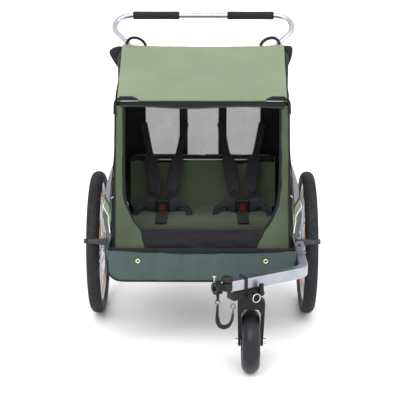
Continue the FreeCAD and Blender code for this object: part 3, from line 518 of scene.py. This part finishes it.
def make_strap(paints):
    line = strap_line()
    # It leaves the ring edge-on to the front and turns its flat face there at the bottom of the loop.
    strap = sweep(
        "safety_strap_webbing", line, tape(STRAP_WIDTH, 2.4), paints["webbing"], body="arm",
        up=(0, 1, 0), twist=lambda t: math.pi / 2 - 0.45 - 0.75 * math.sin(math.pi * min(1, t * 1.15)) ** 2,
    )
    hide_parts("safety_strap")
    start, end = STRAP_ROUTE[0], STRAP_ROUTE[-1]
    ring_at = at(start[0], start[1], start[2] + 7)
    ring = sweep(
        "strap_ring", torus_line(ring_at, 7, (0, 1, 0)), circle(1.4), paints["dark_steel"],
        body="arm", up=(0, 1, 0),
    )
    slider_line = [at(end[0], end[1], end[2] + k) for k in (0.2, 1.5, 4, 6.5, 7.8)]
    slider = sweep(
        "strap_slider", slider_line, tape(18, 5), paints["dark_steel"], body="arm",
        up=(1, 0, 0), swell=lambda t: 0.86 + 0.14 * math.sin(math.pi * t),
    )
    hook_line = [at(end[0] + x, end[1], end[2] + z) for x, z in HOOK_OUTLINE]
    clip = sweep(
        "strap_clip", smooth_line(hook_line, 2), circle(1.7), paints["dark_steel"], body="arm",
        up=(0, 1, 0),
    )
    anchor_line = [at(50, y, z) for y, z in ((-649, 268), (-648, 276), (-645, 284), (-641, 292))]
    anchor = sweep(
        "strap_anchor", anchor_line, tape(9, 2), paints["webbing"], body="arm", up=(0, 1, 0),
    )
    for piece in (ring, slider, clip):
        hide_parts("strap_fittings")
    at(*start)


# ---------------- canopy

REAR_HALF, FRONT_HALF = 283, 270
CANOPY_LINE = (
    (164, 912), (160, 921), (146, 924), (-60, 868), (-248, 826), (-262, 821), (-269, 812), (-271, 805),
)


def canopy_profile(t):
    """The canopy's line from its rear edge over both hoops to its front edge, as (y, z)."""
    points = [Vector((y, z, 0)) for y, z in CANOPY_LINE]
    p = along_line(smooth_line(points, 2), t)
    return p.x, p.y


def canopy_point(u, v):
    """A place on the canopy: u goes across it and v from its rear edge to its front edge."""
    y, z = canopy_profile(v)
    across = 2 * u - 1
    half = REAR_HALF + (FRONT_HALF - REAR_HALF) * v
    edge = max(0, abs(across) - 0.95) / 0.05
    slope = math.sin(math.pi * min(1, v * 1.05))
    sag = 7 * (1 - across**2) * max(0, math.sin(math.pi * (v * 0.9 + 0.25)))
    lift = 5 * abs(across) ** 6 * (1 - v)
    z += lift - sag * slope * 0.6 - 4 * (1 - v) ** 4 * (1 - across**2) - 3 * edge**2
    p = at(across * half, y, z)
    flow = Vector((p.x * 0.6 + p.y * 0.8, p.y * 0.6 - p.x * 0.35, 0))
    p.z += rumple(flow, 0.09, 0.004 * slope, 3.1) + rumple(p, 0.03, 0.0008, 1.7)
    return p


def make_canopy(paints):
    top = grid("canopy_cover", canopy_point, 90, 110, paints["canopy"])
    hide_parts("canopy")

    def hang(u, v):
        x = (2 * u - 1) * 262
        bottom = 786 + 2.5 * math.cos(3 * math.pi * u) + 2 * math.sin(9 * u)
        z = 804 + (bottom - 804) * v
        y = -271 - 4 * v + 2 * math.sin(11 * u) * v
        return at(x, y, z)

    # The valance hangs under the canopy's front edge; its near-black colour is partly the hem's cloth and
    # partly painted shade.
    drop = grid("canopy_valance", hang, 10, 90, paints["valance"])
    hem = [hang(i / 60, 1.0) for i in range(61)]
    edge = sweep("valance_hem", hem, tape(5, 2.4), paints["dark_green"], up=(0, 1, 0))
    front = [canopy_point(0.02 + 0.96 * i / 60, 0.995) for i in range(61)]
    seam = sweep("canopy_front_seam", front, circle(1.6, 8), paints["canopy"])
    fold(top, drop, edge, seam)
    for side, s in SIDES:
        make_corner_pocket(paints, side, s)


def make_corner_pocket(paints, side, s):
    """A black pocket over one front corner of the canopy, a strap down from it and its bright edge."""

    def cover(u, v):
        across = 0.75 + 0.25 * u
        rise = 0.03 * min(1.0, (1 - u) * 9, 0.25 + u * 2.5)
        p = canopy_point((1 + s * across) / 2, 1 - rise * (1 - v))
        return p + Vector((s * 0.002 * u, -0.0022, 0.0022))

    pocket = grid("corner_pocket_" + side, cover, 12, 24, paints["black"])
    low = [(268, 812), (276, 806), (279, 792), (279, 764)]
    line = smooth_line([at(s * x, front_hoop_y(z, 19), z) for x, z in low], 2)
    strap = sweep(
        "corner_pocket_strap_" + side, line, tape(9, 2.4), paints["black"],
        up=(0, 1, 0),
    )
    edge = [cover(i / 12, 1.0) + Vector((0, -0.0005, -0.002)) for i in range(11)]
    trim = sweep("corner_pocket_edge_" + side, edge, circle(1.2, 8), paints["frame"])
    fold(pocket, strap, trim)


def make_corner_sleeves(paints):
    """Black cloth sleeves round the front hoop's top corners, stitched at both ends."""
    for side, s in SIDES:
        route = [(264, -268, 744), (264, -258, 778), (264, -251, 801)]
        route += [(x, -250, 803) for x in (250, 228, 206)]
        line = smooth_line([at(s * x, y, z) for x, y, z in route], 3)
        sleeve = sweep(
            "corner_sleeve_" + side, line, circle(12.4, 20), paints["black"],
            body="front_hoop", up=(0, 1, 0),
            swell=lambda t: 1 + 0.03 * math.sin(70 * t) - 0.1 * (abs(2 * t - 1) > 0.97),
        )
        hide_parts("corner_sleeves")


def make_hoop_sleeves(paints):
    """Dark cloth round the rear hoop's legs, where the side panels are sewn to it."""
    for side, s in SIDES:
        line = [at(s * 288, rear_hoop_y(z), z) for z in range(430, 873, 6)]
        line += [at(s * x, 150, z) for x, z in ((287, 880), (283, 888), (277, 896))]
        sweep(
            "hoop_sleeve_" + side, line, circle(12.2, 20), paints["dark_green"],
            body="rear_hoop", up=(0, 1, 0),
            swell=lambda t: 1 + 0.02 * math.sin(90 * t),
        )


# Outlines of the folded flaps as (x, z).
FLAPS = {
    "right": ((280, 916), (304, 918), (334, 902), (324, 876), (304, 846), (288, 818), (282, 826)),
    "left": ((280, 920), (312, 920), (316, 905), (312, 876), (300, 846), (288, 822), (282, 830)),
}


def make_loops(paints):
    """The carrying loops above the canopy, and the folded black flaps outside the rear corners."""
    for side, s in SIDES:
        route = [(200, 921), (208, 936), (226, 948), (250, 950), (264, 938), (268, 922)]
        line = smooth_line([at(s * x, 152, z) for x, z in route], 3)
        loop = sweep(
            "webbing_loop_" + side, line, tape(14, 4), paints["webbing"], body="rear_hoop",
            up=(0, 1, 0), twist=lambda t: math.pi / 2 - 0.75,
        )
        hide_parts("webbing_loops")
        flap = pillow(
            "corner_flap_" + side, [(s * x, z) for x, z in FLAPS[side]], 168, 7, paints["webbing"],
        )
        fold(flap)


def pillow(name, outline, y, thick, paint):
    """A soft upright plate with a rounded outline of (x, z), thickest in its middle."""
    ring = smooth_line([at(x, y, z) for x, z in outline + outline[:1]], 2)
    middle = sum(ring[:-1], Vector()) / (len(ring) - 1)

    def place(u, v):
        p = middle.lerp(along_line(ring, u), math.sin(math.pi * v) ** 0.6)
        p.y -= thick / 2 * MM * math.cos(math.pi * v)
        return p + Vector((0, rumple(p, 0.02, 0.0015, 2.0), 0))

    return grid(name, place, 18, 48, paint, closed=True)


# ---------------- front

STRIP_OFF = 12.5  # how far the green strips are in front of the hoop's centre
OPENING = ((252, 790), (251, 570), (247, 510), (238, 475), (222, 440), (205, 420), (194, 408), (176, 354))


def opening_line(s):
    """The opening's edge on one side, from its top down to the floor."""
    return smooth_line([at(s * x, front_hoop_y(z, 15), z) for x, z in OPENING], 3)


def make_front(paints):
    for side, s in SIDES:
        inner = opening_line(s)
        edge = ((277, 790), (278, 600), (279, 400), (279, 352))
        outer = smooth_line([at(s * x, front_hoop_y(z, STRIP_OFF), z) for x, z in edge], 2)

        def strip(u, v, inner=inner, outer=outer, s=s):
            p = along_line(outer, v).lerp(along_line(inner, v), u)
            bulge = math.sin(math.pi * u) * (0.006 - 0.003 * v)
            folds = rumple((p.x, p.z * 0.35, 0), 0.05, 0.004 * v, 5.0 + s)
            p.y -= bulge + folds + rumple(p, 0.03, 0.0012, 2.2)
            return p

        cover = grid("front_strip_" + side, strip, 110, 18, paints["strip"])
        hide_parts("front_surround")
        inside = sweep(
            "front_binding_inner_" + side, inner, tape(11, 2.6), paints["black"],
            up=(0, 1, 0),
        )
        outside = sweep(
            "front_binding_outer_" + side, outer, circle(3.4, 10), paints["black"],
            up=(0, 1, 0),
        )
        fold(cover, inside, outside)


def make_lower_front(paints):
    """The black panel under the opening and the sagging hem across the whole front."""

    def panel(u, v):
        z = 414 - 62 * v
        half = 195 - 19 * v
        across = 2 * u - 1
        p = at(
            across * half, front_hoop_y(z, 14) - 3 * math.sin(math.pi * v),
            z - 3 * (1 - across**2) * (1 - v),
        )
        p.y -= rumple((p.x, p.z * 3, 0), 0.05, 0.003, 8.0)
        return p

    cover = grid("front_lower_cover", panel, 16, 90, paints["black"])
    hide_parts("front_lower_panel")
    top = [panel(i / 40, 0.0) + Vector((0, -0.001, 0)) for i in range(41)]
    lip = sweep("front_lower_lip", top, tape(7, 2.6), paints["webbing"], up=(0, 1, 0))
    stitches = [panel(i / 40, 0.16) + Vector((0, -0.0012, 0)) for i in range(41)]
    seam = sweep("front_lower_seam", stitches, circle(0.9, 6), paints["webbing"])

    def band(u, v):
        across = 2 * u - 1
        z = 360 - (9 + 10 * (1 - across**2)) * v
        p = at(across * 292, -417 + 10 * abs(across) ** 10 - 3 * math.sin(math.pi * v), z)
        p.y -= rumple((p.x, p.z, 0), 0.06, 0.003, 4.0)
        return p

    hem = grid("front_hem", band, 8, 90, paints["black"])


# ---------------- footwell and sides

FOOT_TOP, FOOT_LOW = 350, 249


def footwell_half(z):
    """Half the width of the footwell's front at a height: full, then rounded in at the bottom corners."""
    round_it = max(0.0, (FOOT_LOW + 42 - z) / 42)
    return 300 - 46 * (1 - math.sqrt(max(0.0, 1 - round_it**2)))


def make_footwell(paints):
    def wall(u, v):
        across = 2 * u - 1
        z = FOOT_TOP + (FOOT_LOW - FOOT_TOP) * v
        half = footwell_half(z)
        p = at(across * half, -415 - 4 * math.sin(math.pi * v) * (1 - across**8), z)
        p.y -= rumple((p.x * 1.3, p.z * 0.25, 0), 0.03, 0.005 * math.sin(math.pi * v) ** 0.5, 6.0)
        p.y -= rumple(p, 0.05, 0.002, 9.0)
        return p

    cover = grid("footwell_front", wall, 34, 150, paints["teal"])
    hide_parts("skirt_front")
    rim = [at(-footwell_half(z), -415, z) for z in (318, 300, 285, 272, 262, 255, 251, FOOT_LOW)]
    rim += [at(x, -415, FOOT_LOW) for x in range(-230, 240, 20)]
    rim += [at(footwell_half(z), -415, z) for z in (FOOT_LOW, 251, 255, 262, 272, 285, 300, 318)]
    piping = sweep(
        "footwell_piping", smooth_line(rim, 1), circle(3.2, 10), paints["black"],
        up=(0, 1, 0),
    )
    parts = [piping]
    for side, s in SIDES:
        ring_at = at(s * EYELET[0], *EYELET[1:])
        ring = sweep(
            "eyelet_" + side, torus_line(ring_at, 5.6, (0, 1, 0), 32), circle(2.0, 10, 0.7),
            paints["brass"], up=(0, 1, 0),
        )
        hole = dished_disc(
            "eyelet_hole_" + side, ring_at + Vector((0, 0.001, 0)), 4.6, paints["black"],
        )
        parts += [ring, hole]


def dished_disc(name, centre, radius, paint):
    """A shallow dished disc that faces the front."""

    def dish(u, v):
        a = 2 * math.pi * u
        return centre + Vector((radius * v * math.cos(a), 1.5 * (1 - v**2), radius * v * math.sin(a))) * MM

    return grid(name, dish, 4, 20, paint, closed=True)


FLARE = (
    (-411, ((262, 300), (354, 300), (400, 290), (480, 283), (640, 279.5))),
    (-300, ((262, 301), (354, 303), (400, 303), (480, 295), (640, 281))),
    (-190, ((262, 317), (354, 327), (400, 333), (480, 321), (640, 282))),
    (-20, ((262, 313), (354, 322), (400, 328), (480, 316), (640, 281))),
    (140, ((262, 304), (354, 304), (400, 303), (480, 294), (640, 279.5))),
)


def between(rows, value):
    """Smoothly reads a list of (place, amount) at a value between its places."""
    for (a, first), (b, last) in zip(rows, rows[1:]):
        if value <= b:
            share = min(1, max(0, (value - a) / (b - a)))
            share = share * share * (3 - 2 * share)
            return first + (last - first) * share
    return rows[-1][1]


def skin_x(y, z):
    """How far out the side's cloth is at a place, up to the flat upper side."""
    return between([(where, between(rows, z)) for where, rows in FLARE], y)


SIDE_LOW, SIDE_HIGH = 400, 905
WALL_Z, WALL_X = 640, 279.5  # where the flat upper side starts, and how far out it is there
SIDE_FRONT, SIDE_REAR = 43, 34  # how far the window stays from the side's front and rear edges


def wall_x(y, z):
    """How far out the whole side is: the flare, then the upper side, which leans in a little."""
    return skin_x(y, z) if z < WALL_Z else WALL_X - (z - WALL_Z) * 0.012


def front_limit(z):
    """How far forward the side's cloth goes at a height."""
    return front_hoop_y(z, 11) if z > SIDE_LOW else -411


def rear_limit(z):
    """How far back the side's cloth goes at a height."""
    return 140 if z < SIDE_LOW else rear_hoop_y(z) - 4


def top_line(y):
    """The height of the canopy's edge above the side."""
    return 819 + (y + 250) / 4


def pipe_z(y):
    """The white piping between the teal cloth and the light green band."""
    return between([(-400, 408), (-340, 418), (-190, 437), (140, 446)], y)


def net_low(y):
    """The lower edge of the side window."""
    return pipe_z(y) + between([(-400, 30), (-190, 32), (140, 30)], y)


def make_sides(paints):
    for side, s in SIDES:

        def skirt(u, v, s=s):
            z = 400 - 132 * v
            y = -411 + 551 * u
            x = skin_x(y, z)
            p = at(s * x, y, z)
            height = 0.005 * math.sin(math.pi * v)
            p.x -= s * (0.002 + rumple((p.y * 1.2, p.z * 0.4, 0), 0.05, height, 3.0 + s))
            return p

        lower = grid("skirt_side_" + side, skirt, 26, 90, paints["teal"])
        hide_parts("skirt_sides")
        bottom = [skirt(i / 60, 1.0) for i in range(61)]
        piping = sweep("skirt_piping_" + side, bottom, circle(3, 10), paints["black"])

        def upper(u, v, s=s):
            # The side's edges lean, so a first guess at the height finds the place along the side.
            z = SIDE_LOW + (SIDE_HIGH - SIDE_LOW) * v
            y = front_limit(z) + (rear_limit(z) - front_limit(z)) * u
            z = SIDE_LOW + (top_line(y) - SIDE_LOW) * v
            y = front_limit(z) + (rear_limit(z) - front_limit(z)) * u
            x = wall_x(y, z)
            return at(s * x, y, z)

        def kind(u, v):
            p = upper(u, v, 1)
            y, z = (p.y - AXLE_Y) / MM, p.z / MM
            if z < pipe_z(y):
                return 0
            if z < net_low(y):
                return 1
            in_front = y - front_limit(z)
            behind = rear_limit(z) - y
            if z < top_line(y) - 42 and in_front > SIDE_FRONT and behind > SIDE_REAR:
                return 2
            return 3

        paint = [paints["teal"], paints["band"], paints["side_window"], paints["dark_green"]]
        cover = grid("side_cover_" + side, upper, 120, 100, paint, kind)
        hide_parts("side_panels", "side_flares", "mesh_windows")
        steps = [-404 + 560 * i / 70 for i in range(71)]
        white = [at(s * (skin_x(y, pipe_z(y)) + 2), y, pipe_z(y)) for y in steps if y < 170]
        white = sweep("side_piping_" + side, white, circle(1.7, 8), paints["piping"])
        low = [(y, net_low(y)) for y in steps]
        black = [at(s * (skin_x(y, z) + 0.8), y, z) for y, z in low if front_limit(z) + 37 < y < 150]
        black = sweep(
            "side_window_binding_" + side, black, tape(7, 2.4), paints["black"],
            up=(1, 0, 0),
        )
        trim = sweep(
            "side_window_trim_" + side, window_frame(s), tape(8, 2.2), paints["black"],
            up=(s, 0, 0),
        )
        fold(cover, white, black, trim, anchor=400)


def window_frame(s):
    """The black binding round the upper side window: front, top and rear."""
    points = []
    for z in (462, 520, 600, 680, 740):
        points.append((front_limit(z) + SIDE_FRONT, z))
    points += [(-232, 774), (-212, 786), (0, 839), (104, 864), (118, 850)]
    for z in (780, 700, 600, 520, 472):
        points.append((rear_limit(z) - SIDE_REAR, z))
    found = []
    for y, z in points:
        x = wall_x(y, z)
        found.append(at(s * (x + 1.9), y, z))
    return smooth_line(found, 2)


def make_floor_cover(paints):
    def place(u, v):
        y = -410 + 606 * v
        z = between([(-410, 256), (-132, 256), (-108, 272), (196, 272)], y)
        p = at((2 * u - 1) * 289, y, z)
        p.z += rumple(p, 0.06, 0.003, 2.0)
        return p

    cover = grid("floor_cover", place, 60, 60, paints["black"])
    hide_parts("floor")


# ---------------- rear wall

# Half the middle pane's width, then the outer panes' inner and outer edges.
PANE_MIDDLE, PANE_INNER, PANE_OUTER = 59, 85, 204
PANE_LOW, PANE_TOP = 517, 800
REAR_STRAP_X = 67.5
PANE_CUT = 30  # height of the cut at an outer pane's lower corner


def rear_y(z):
    """How far back the rear wall is at a height."""
    return rear_hoop_y(z) - 1.5


def in_pane(x, z):
    """Whether a place on the rear wall is net: three panes, the outer two cut at their lower corners."""
    if not PANE_LOW < z < PANE_TOP:
        return False
    edge = PANE_OUTER - max(0, PANE_LOW + PANE_CUT - z) * 0.6
    return abs(x) < PANE_MIDDLE or PANE_INNER < abs(x) < edge


def make_rear_wall(paints):
    def place(u, v):
        z = 272 + 628 * v
        low = min(1, max(0, (350 - z) / 12))
        half = 280 - 28 * max(0, (z - 850) / 50) - 7 * low
        x = (2 * u - 1) * half
        p = at(x, rear_y(z) + (184 - rear_y(z)) * low, z)
        net_here = in_pane(x, z)
        p.y += rumple((p.x, p.z * 0.5, 0), 0.05, 0.004 if net_here else 0.0015, 7.0)
        return p

    def kind(u, v):
        p = place(u, v)
        return 1 if in_pane(p.x / MM, p.z / MM) else 0

    wall = grid("rear_cover", place, 157, 140, [paints["black"], paints["window"]], kind)
    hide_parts("rear_wall", "mesh_windows")
    straps = []
    for side, s in (("right", -1), ("left", 1)):
        line = [at(s * REAR_STRAP_X, rear_y(z) - 2.5, z) for z in range(500, 890, 10)]
        straps.append(
            sweep("rear_strap_" + side, line, tape(25, 2), paints["webbing"], up=(0, 1, 0))
        )
    # The rear header reuses the valance's near-black colour, which is partly painted shade.
    line = [at(x, rear_y(818) - 3, 818 - 4 * math.cos(x / 90)) for x in range(-262, 263, 12)]
    straps.append(
        sweep("rear_header", line, tape(34, 2.4), paints["valance"], up=(0, 1, 0))
    )
    fold(wall, *straps)


# ---------------- seats and harness


SEAT_OUTLINE = (
    (-262, 372), (-256, 386), (-230, 393), (-80, 385), (60, 376), (62, 356), (-80, 360), (-240, 371),
    (-262, 372),
)
BACK_OUTLINE = ((60, 354), (100, 536), (106, 542), (122, 538), (86, 354), (60, 354))


def cushion(name, outline, half, paint, seams):
    """A padded slab: its outline in (y, z) carried across x, crowned, and sewn in at the seams."""
    corners = [Vector((y, z, 0)) for y, z in outline]
    middle = sum(corners[:-1], Vector()) / (len(corners) - 1)

    def place(u, v):
        x = (2 * u - 1) * half
        p = along_line(corners, v)
        rim = min(1, min(u, 1 - u) * 22)
        swell = 0.86 + 0.14 * math.sqrt(rim)
        for seam in seams:
            swell -= 0.05 * math.exp(-(((x - seam) / 5) ** 2))
        p = middle + (p - middle) * swell
        point = at(x, p.x, p.y)
        point.z += rumple(point, 0.05, 0.003, 4.4)
        point.y += rumple(point, 0.06, 0.003, 1.4)
        return point

    return grid(name, lambda u, v: place(v, u), 120, 72, paint, closed=True)


def make_seats(paints):
    seat = cushion("seat_base_cushion", SEAT_OUTLINE, SEAT_HALF, paints["seat"], (0, -SEAT_X, SEAT_X))
    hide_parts("seat_base")
    rest = cushion("seat_back_cushion", BACK_OUTLINE, BACK_HALF, paints["seat_back"], (0,))
    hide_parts("seat_back")

    def drop(u, v):
        p = at((2 * u - 1) * 239, -258 - 9 * math.sin(math.pi * (0.25 + 0.7 * v)), 390 - 40 * v)
        p.y -= rumple((p.x, p.z * 2, 0), 0.06, 0.003, 3.3)
        return p

    flap = grid("seat_front_flap", drop, 14, 90, paints["seat"])
    band = [at(x, 97 + 1.5 * math.cos(x / 40), 522) for x in range(-254, 255, 12)]
    top_band = sweep("seat_top_band", band, tape(38, 5), paints["black"], up=(0, 1, 0.25))
    bar = [at(x, 93, 526) for x in range(-170, 171, 20)]
    rail = sweep("seat_top_rail", bar, circle(3.2, 12), paints["frame"])
    fold(rest, top_band, rail)


def pad_surface(name, middle, along, sizes, paint):
    """A soft pad: an oblong pillow about middle, sizes = length, width and thickness in millimetres."""
    length, width, thick = sizes
    along, across = Vector(along).normalized(), Vector((1, 0, 0))
    out = along.cross(across)

    def place(u, v):
        a = 2 * math.pi * u
        t = 2 * v - 1
        end = (1 - abs(t) ** 5) ** 0.4
        w = width / 2 * end
        h = thick / 2 * end ** 0.7
        cx = math.copysign(abs(math.cos(a)) ** 0.6, math.cos(a))
        cy = math.copysign(abs(math.sin(a)) ** 0.8, math.sin(a))
        p = middle + (along * t * length / 2 + across * w * cx + out * h * cy) * MM
        return p + out * rumple(p, 0.018, 0.0015, 6.6)

    return grid(name, place, 40, 28, paint, closed=True)


SHOULDER_ROUTE = (
    (74, 138, 650), (64, 124, 600), (54, 106, 552), (46, 92, 530), (40, 20, 482), (30, -60, 438),
    (18, -84, 430),
)
WAIST_ROUTE = ((50, -92, 412), (68, -92, 411), (86, -100, 400), (92, -126, 390), (91, -140, 388))
WING_ROUTE = ((-66, 424), (-46, 413), (-22, 405), (0, 403), (22, 405), (46, 413), (66, 424))
CROTCH_ROUTE = ((-106, 392), (-125, 391), (-160, 392), (-200, 395), (-238, 397), (-252, 394))


def make_harness(paints):
    """Each child's five-point harness: pads and straps over the CAD's buckle and button."""
    for side, s in SIDES:
        c = s * SEAT_X
        for k, hand in ((1, "outer"), (-1, "inner")):
            make_half_harness(paints, c, s * k, f"{side}_{hand}")
        line = smooth_line([at(c + x, -85, z) for x, z in WING_ROUTE], 3)
        pad = sweep(
            "crotch_pad_" + side, line, circle(25, 24, 0.34), paints["pad"], up=(0, -1, 0),
            swell=lambda t: (1 - abs(2 * t - 1) ** 6) ** 0.5 * (0.74 + 0.26 * math.sin(math.pi * t)) + 0.02,
        )
        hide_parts("crotch_pads")
        line = smooth_line([at(c, y, z) for y, z in CROTCH_ROUTE], 3)
        crotch = sweep("crotch_strap_" + side, line, tape(38, 2.4), paints["webbing"])
        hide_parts("harness_webbing")


def make_half_harness(paints, c, way, tag):
    """The shoulder pad with its strap and the waist strap on one side of a seat."""
    middle = at(c + way * 37, 18, 488)
    pad = pad_surface("shoulder_pad_" + tag, middle, (way * 0.13, 0.79, 0.6), (186, 47, 13), paints["pad"])
    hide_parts("shoulder_pads")
    line = smooth_line([at(c + way * x, y, z) for x, y, z in SHOULDER_ROUTE], 3)
    strap = sweep(
        "shoulder_strap_" + tag, line, tape(24, 2), paints["webbing"],
        up=(0, -0.85, 0.5),
    )
    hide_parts("harness_webbing")
    line = smooth_line([at(c + way * x, y, z) for x, y, z in WAIST_ROUTE], 3)
    waist = sweep("waist_strap_" + tag, line, tape(22, 2), paints["webbing"], up=(0, -1, 0.3))
    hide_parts("harness_webbing")
    fold(pad, strap)


# ---------------- wheels

TREAD = 2.6  # height of the rear tyres' knobs


def tyre_outline(half, inner, outer, shoulder, steps):
    """A tyre's cross-section as (x, radius): bead, side wall, crown, side wall and bead."""
    found = [(half - 8, inner), (half - 4, inner + 8)]
    for i in range(steps + 1):
        a = math.pi * i / steps
        found.append((half * math.cos(a), outer - shoulder + shoulder * math.sin(a)))
    return found + [(4 - half, inner + 8), (8 - half, inner)]


def make_rear_tyres(paints):
    steps = 22
    profile = tyre_outline(22.3, RIM_R, REAR_R - TREAD, 19, steps)

    def knob(k, j):
        """Blocks in staggered rows, with a groove between rows and between blocks."""
        j -= 2
        if not 2 <= j <= steps - 2:
            return 0.0
        groove_along = j % 3 == 0
        groove_across = (k + 2 * (j // 3)) % 5 == 0
        return 0.0 if groove_along or groove_across else TREAD

    for side, s in SIDES:
        tyre = lathe(
            "rear_tyre_" + side, at(s * WHEEL_X, 0, REAR_R), profile, 300, paints["tyre"],
            "wheel_" + side, knob,
        )
        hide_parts("tyre_" + side)


def make_front_tyre(paints):
    steps = 30
    profile = tyre_outline(28, FRONT_RIM_R, FRONT_R, 24, steps)

    def ribs(k, j):
        j -= 2
        return -0.8 if j in (9, 13, 17, 21) else 0.0

    tyre = lathe(
        "front_tyre_ribbed", at(*FRONT_WHEEL), profile, 120, paints["front_tyre"], "front_wheel",
        ribs,
    )
    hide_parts("front_tyre")


REFLECTORS = ((-70, 316, 0.0), (40, 432, 0.3), (30, 107, -0.3))  # y, z and turn in radians


def make_reflectors(paints):
    """Amber reflectors clipped between the spokes."""
    for side, s in SIDES:
        x = s * (WHEEL_X - 11)
        for i, (y, z, turn) in enumerate(REFLECTORS):
            ends = (-32, -28, -10, 10, 28, 32)
            sweep(
                f"reflector_{side}_{i}",
                [at(x, y + k * math.sin(turn), z + k * math.cos(turn)) for k in ends],
                circle(8, 16, 0.4), paints["amber"], body="wheel_" + side,
                up=(1, 0, 0), swell=lambda t: 0.6 + 0.4 * math.sin(math.pi * t) ** 0.25,
            )


def make_grips(paints):
    """Foam grips, slightly waisted, with rounded ends."""
    y = HANDLE_PIVOT[0] + HANDLE_LENGTH * math.cos(HANDLE_RISE)
    z = HANDLE_PIVOT[1] + HANDLE_LENGTH * math.sin(HANDLE_RISE)
    half = [(-84, 9.6), (-84, 12.5), (-82, 14.1), (-78, 14.6), (-50, 14.3)]
    profile = half + [(0, 14.1)] + [(-x, r) for x, r in reversed(half)]
    for side, s in SIDES:
        grip = lathe("grip_" + side, at(s * GRIP_X, y, z), profile, 40, paints["foam"], "handle")
        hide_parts("grips")


# ---------------- CAD nodes that keep their shape

NODE_PAINT = {
    "frame": ("side_rails", "cross_tubes", "axle_tube", "rear_hoop", "front_hoop", "rim_left", "rim_right"),
    "handle": ("handlebar",),
    "arm": ("hitch_arm",),
    "steel": (
        "hinge_pins", "axles", "spoked_hub_left", "spoked_hub_right", "arm_pivot_pin", "hitch_pin",
        "pull_ring", "front_axle",
    ),
    "coat": ("hinge_brackets", "axle_brackets", "handle_knuckles"),
    "bracket": ("hitch_bracket",),
    "guard": ("wheel_guards", "brake_shaft", "brake_pedal"),
    "plastic": (
        "hitch_head", "arm_end_bracket", "wheel_mount", "caster_fork", "buckles", "front_rim",
        "axle_button_left", "axle_button_right", "mount_lever",
    ),
    "dome": ("elastomer",),
    "red": ("buckle_button_left", "buckle_button_right"),
    "webbing": ("wheel_mount_strap",),
}
# How wide a node's rounded edges are, in metres.
EDGE = 0.0006
ROUND_OFF = {
    "caster_fork": 0.004, "wheel_mount": 0.002, "hitch_bracket": 0.002, "arm_end_bracket": 0.003,
    "wheel_mount_strap": 0.0008,
}


def paint_node(node, material, edge):
    """Gives a CAD node its material and softens its sharp edges. Its place and size stay."""
    node.data.materials.clear()
    node.data.materials.append(material)
    rounder = node.modifiers.new("soft_edges", "BEVEL")
    rounder.width = edge
    rounder.segments = 2
    rounder.limit_method = "ANGLE"
    rounder.angle_limit = math.radians(50)
    for face in node.data.polygons:
        face.use_smooth = True
    node.modifiers.new("shading", "WEIGHTED_NORMAL")


def paint_nodes(paints):
    for key, names in NODE_PAINT.items():
        for name in names:
            paint_node(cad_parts[name], paints[key], ROUND_OFF.get(name, EDGE))


# ---------------- all of it


def main():
    make_camera()
    make_light()
    paints = make_materials()
    make_strap(paints)
    make_floor()
    paint_nodes(paints)
    make_canopy(paints)
    make_corner_sleeves(paints)
    make_hoop_sleeves(paints)
    make_loops(paints)
    make_front(paints)
    make_lower_front(paints)
    make_footwell(paints)
    make_sides(paints)
    make_floor_cover(paints)
    make_rear_wall(paints)
    make_seats(paints)
    make_harness(paints)
    make_rear_tyres(paints)
    make_front_tyre(paints)
    make_reflectors(paints)
    make_grips(paints)


main()
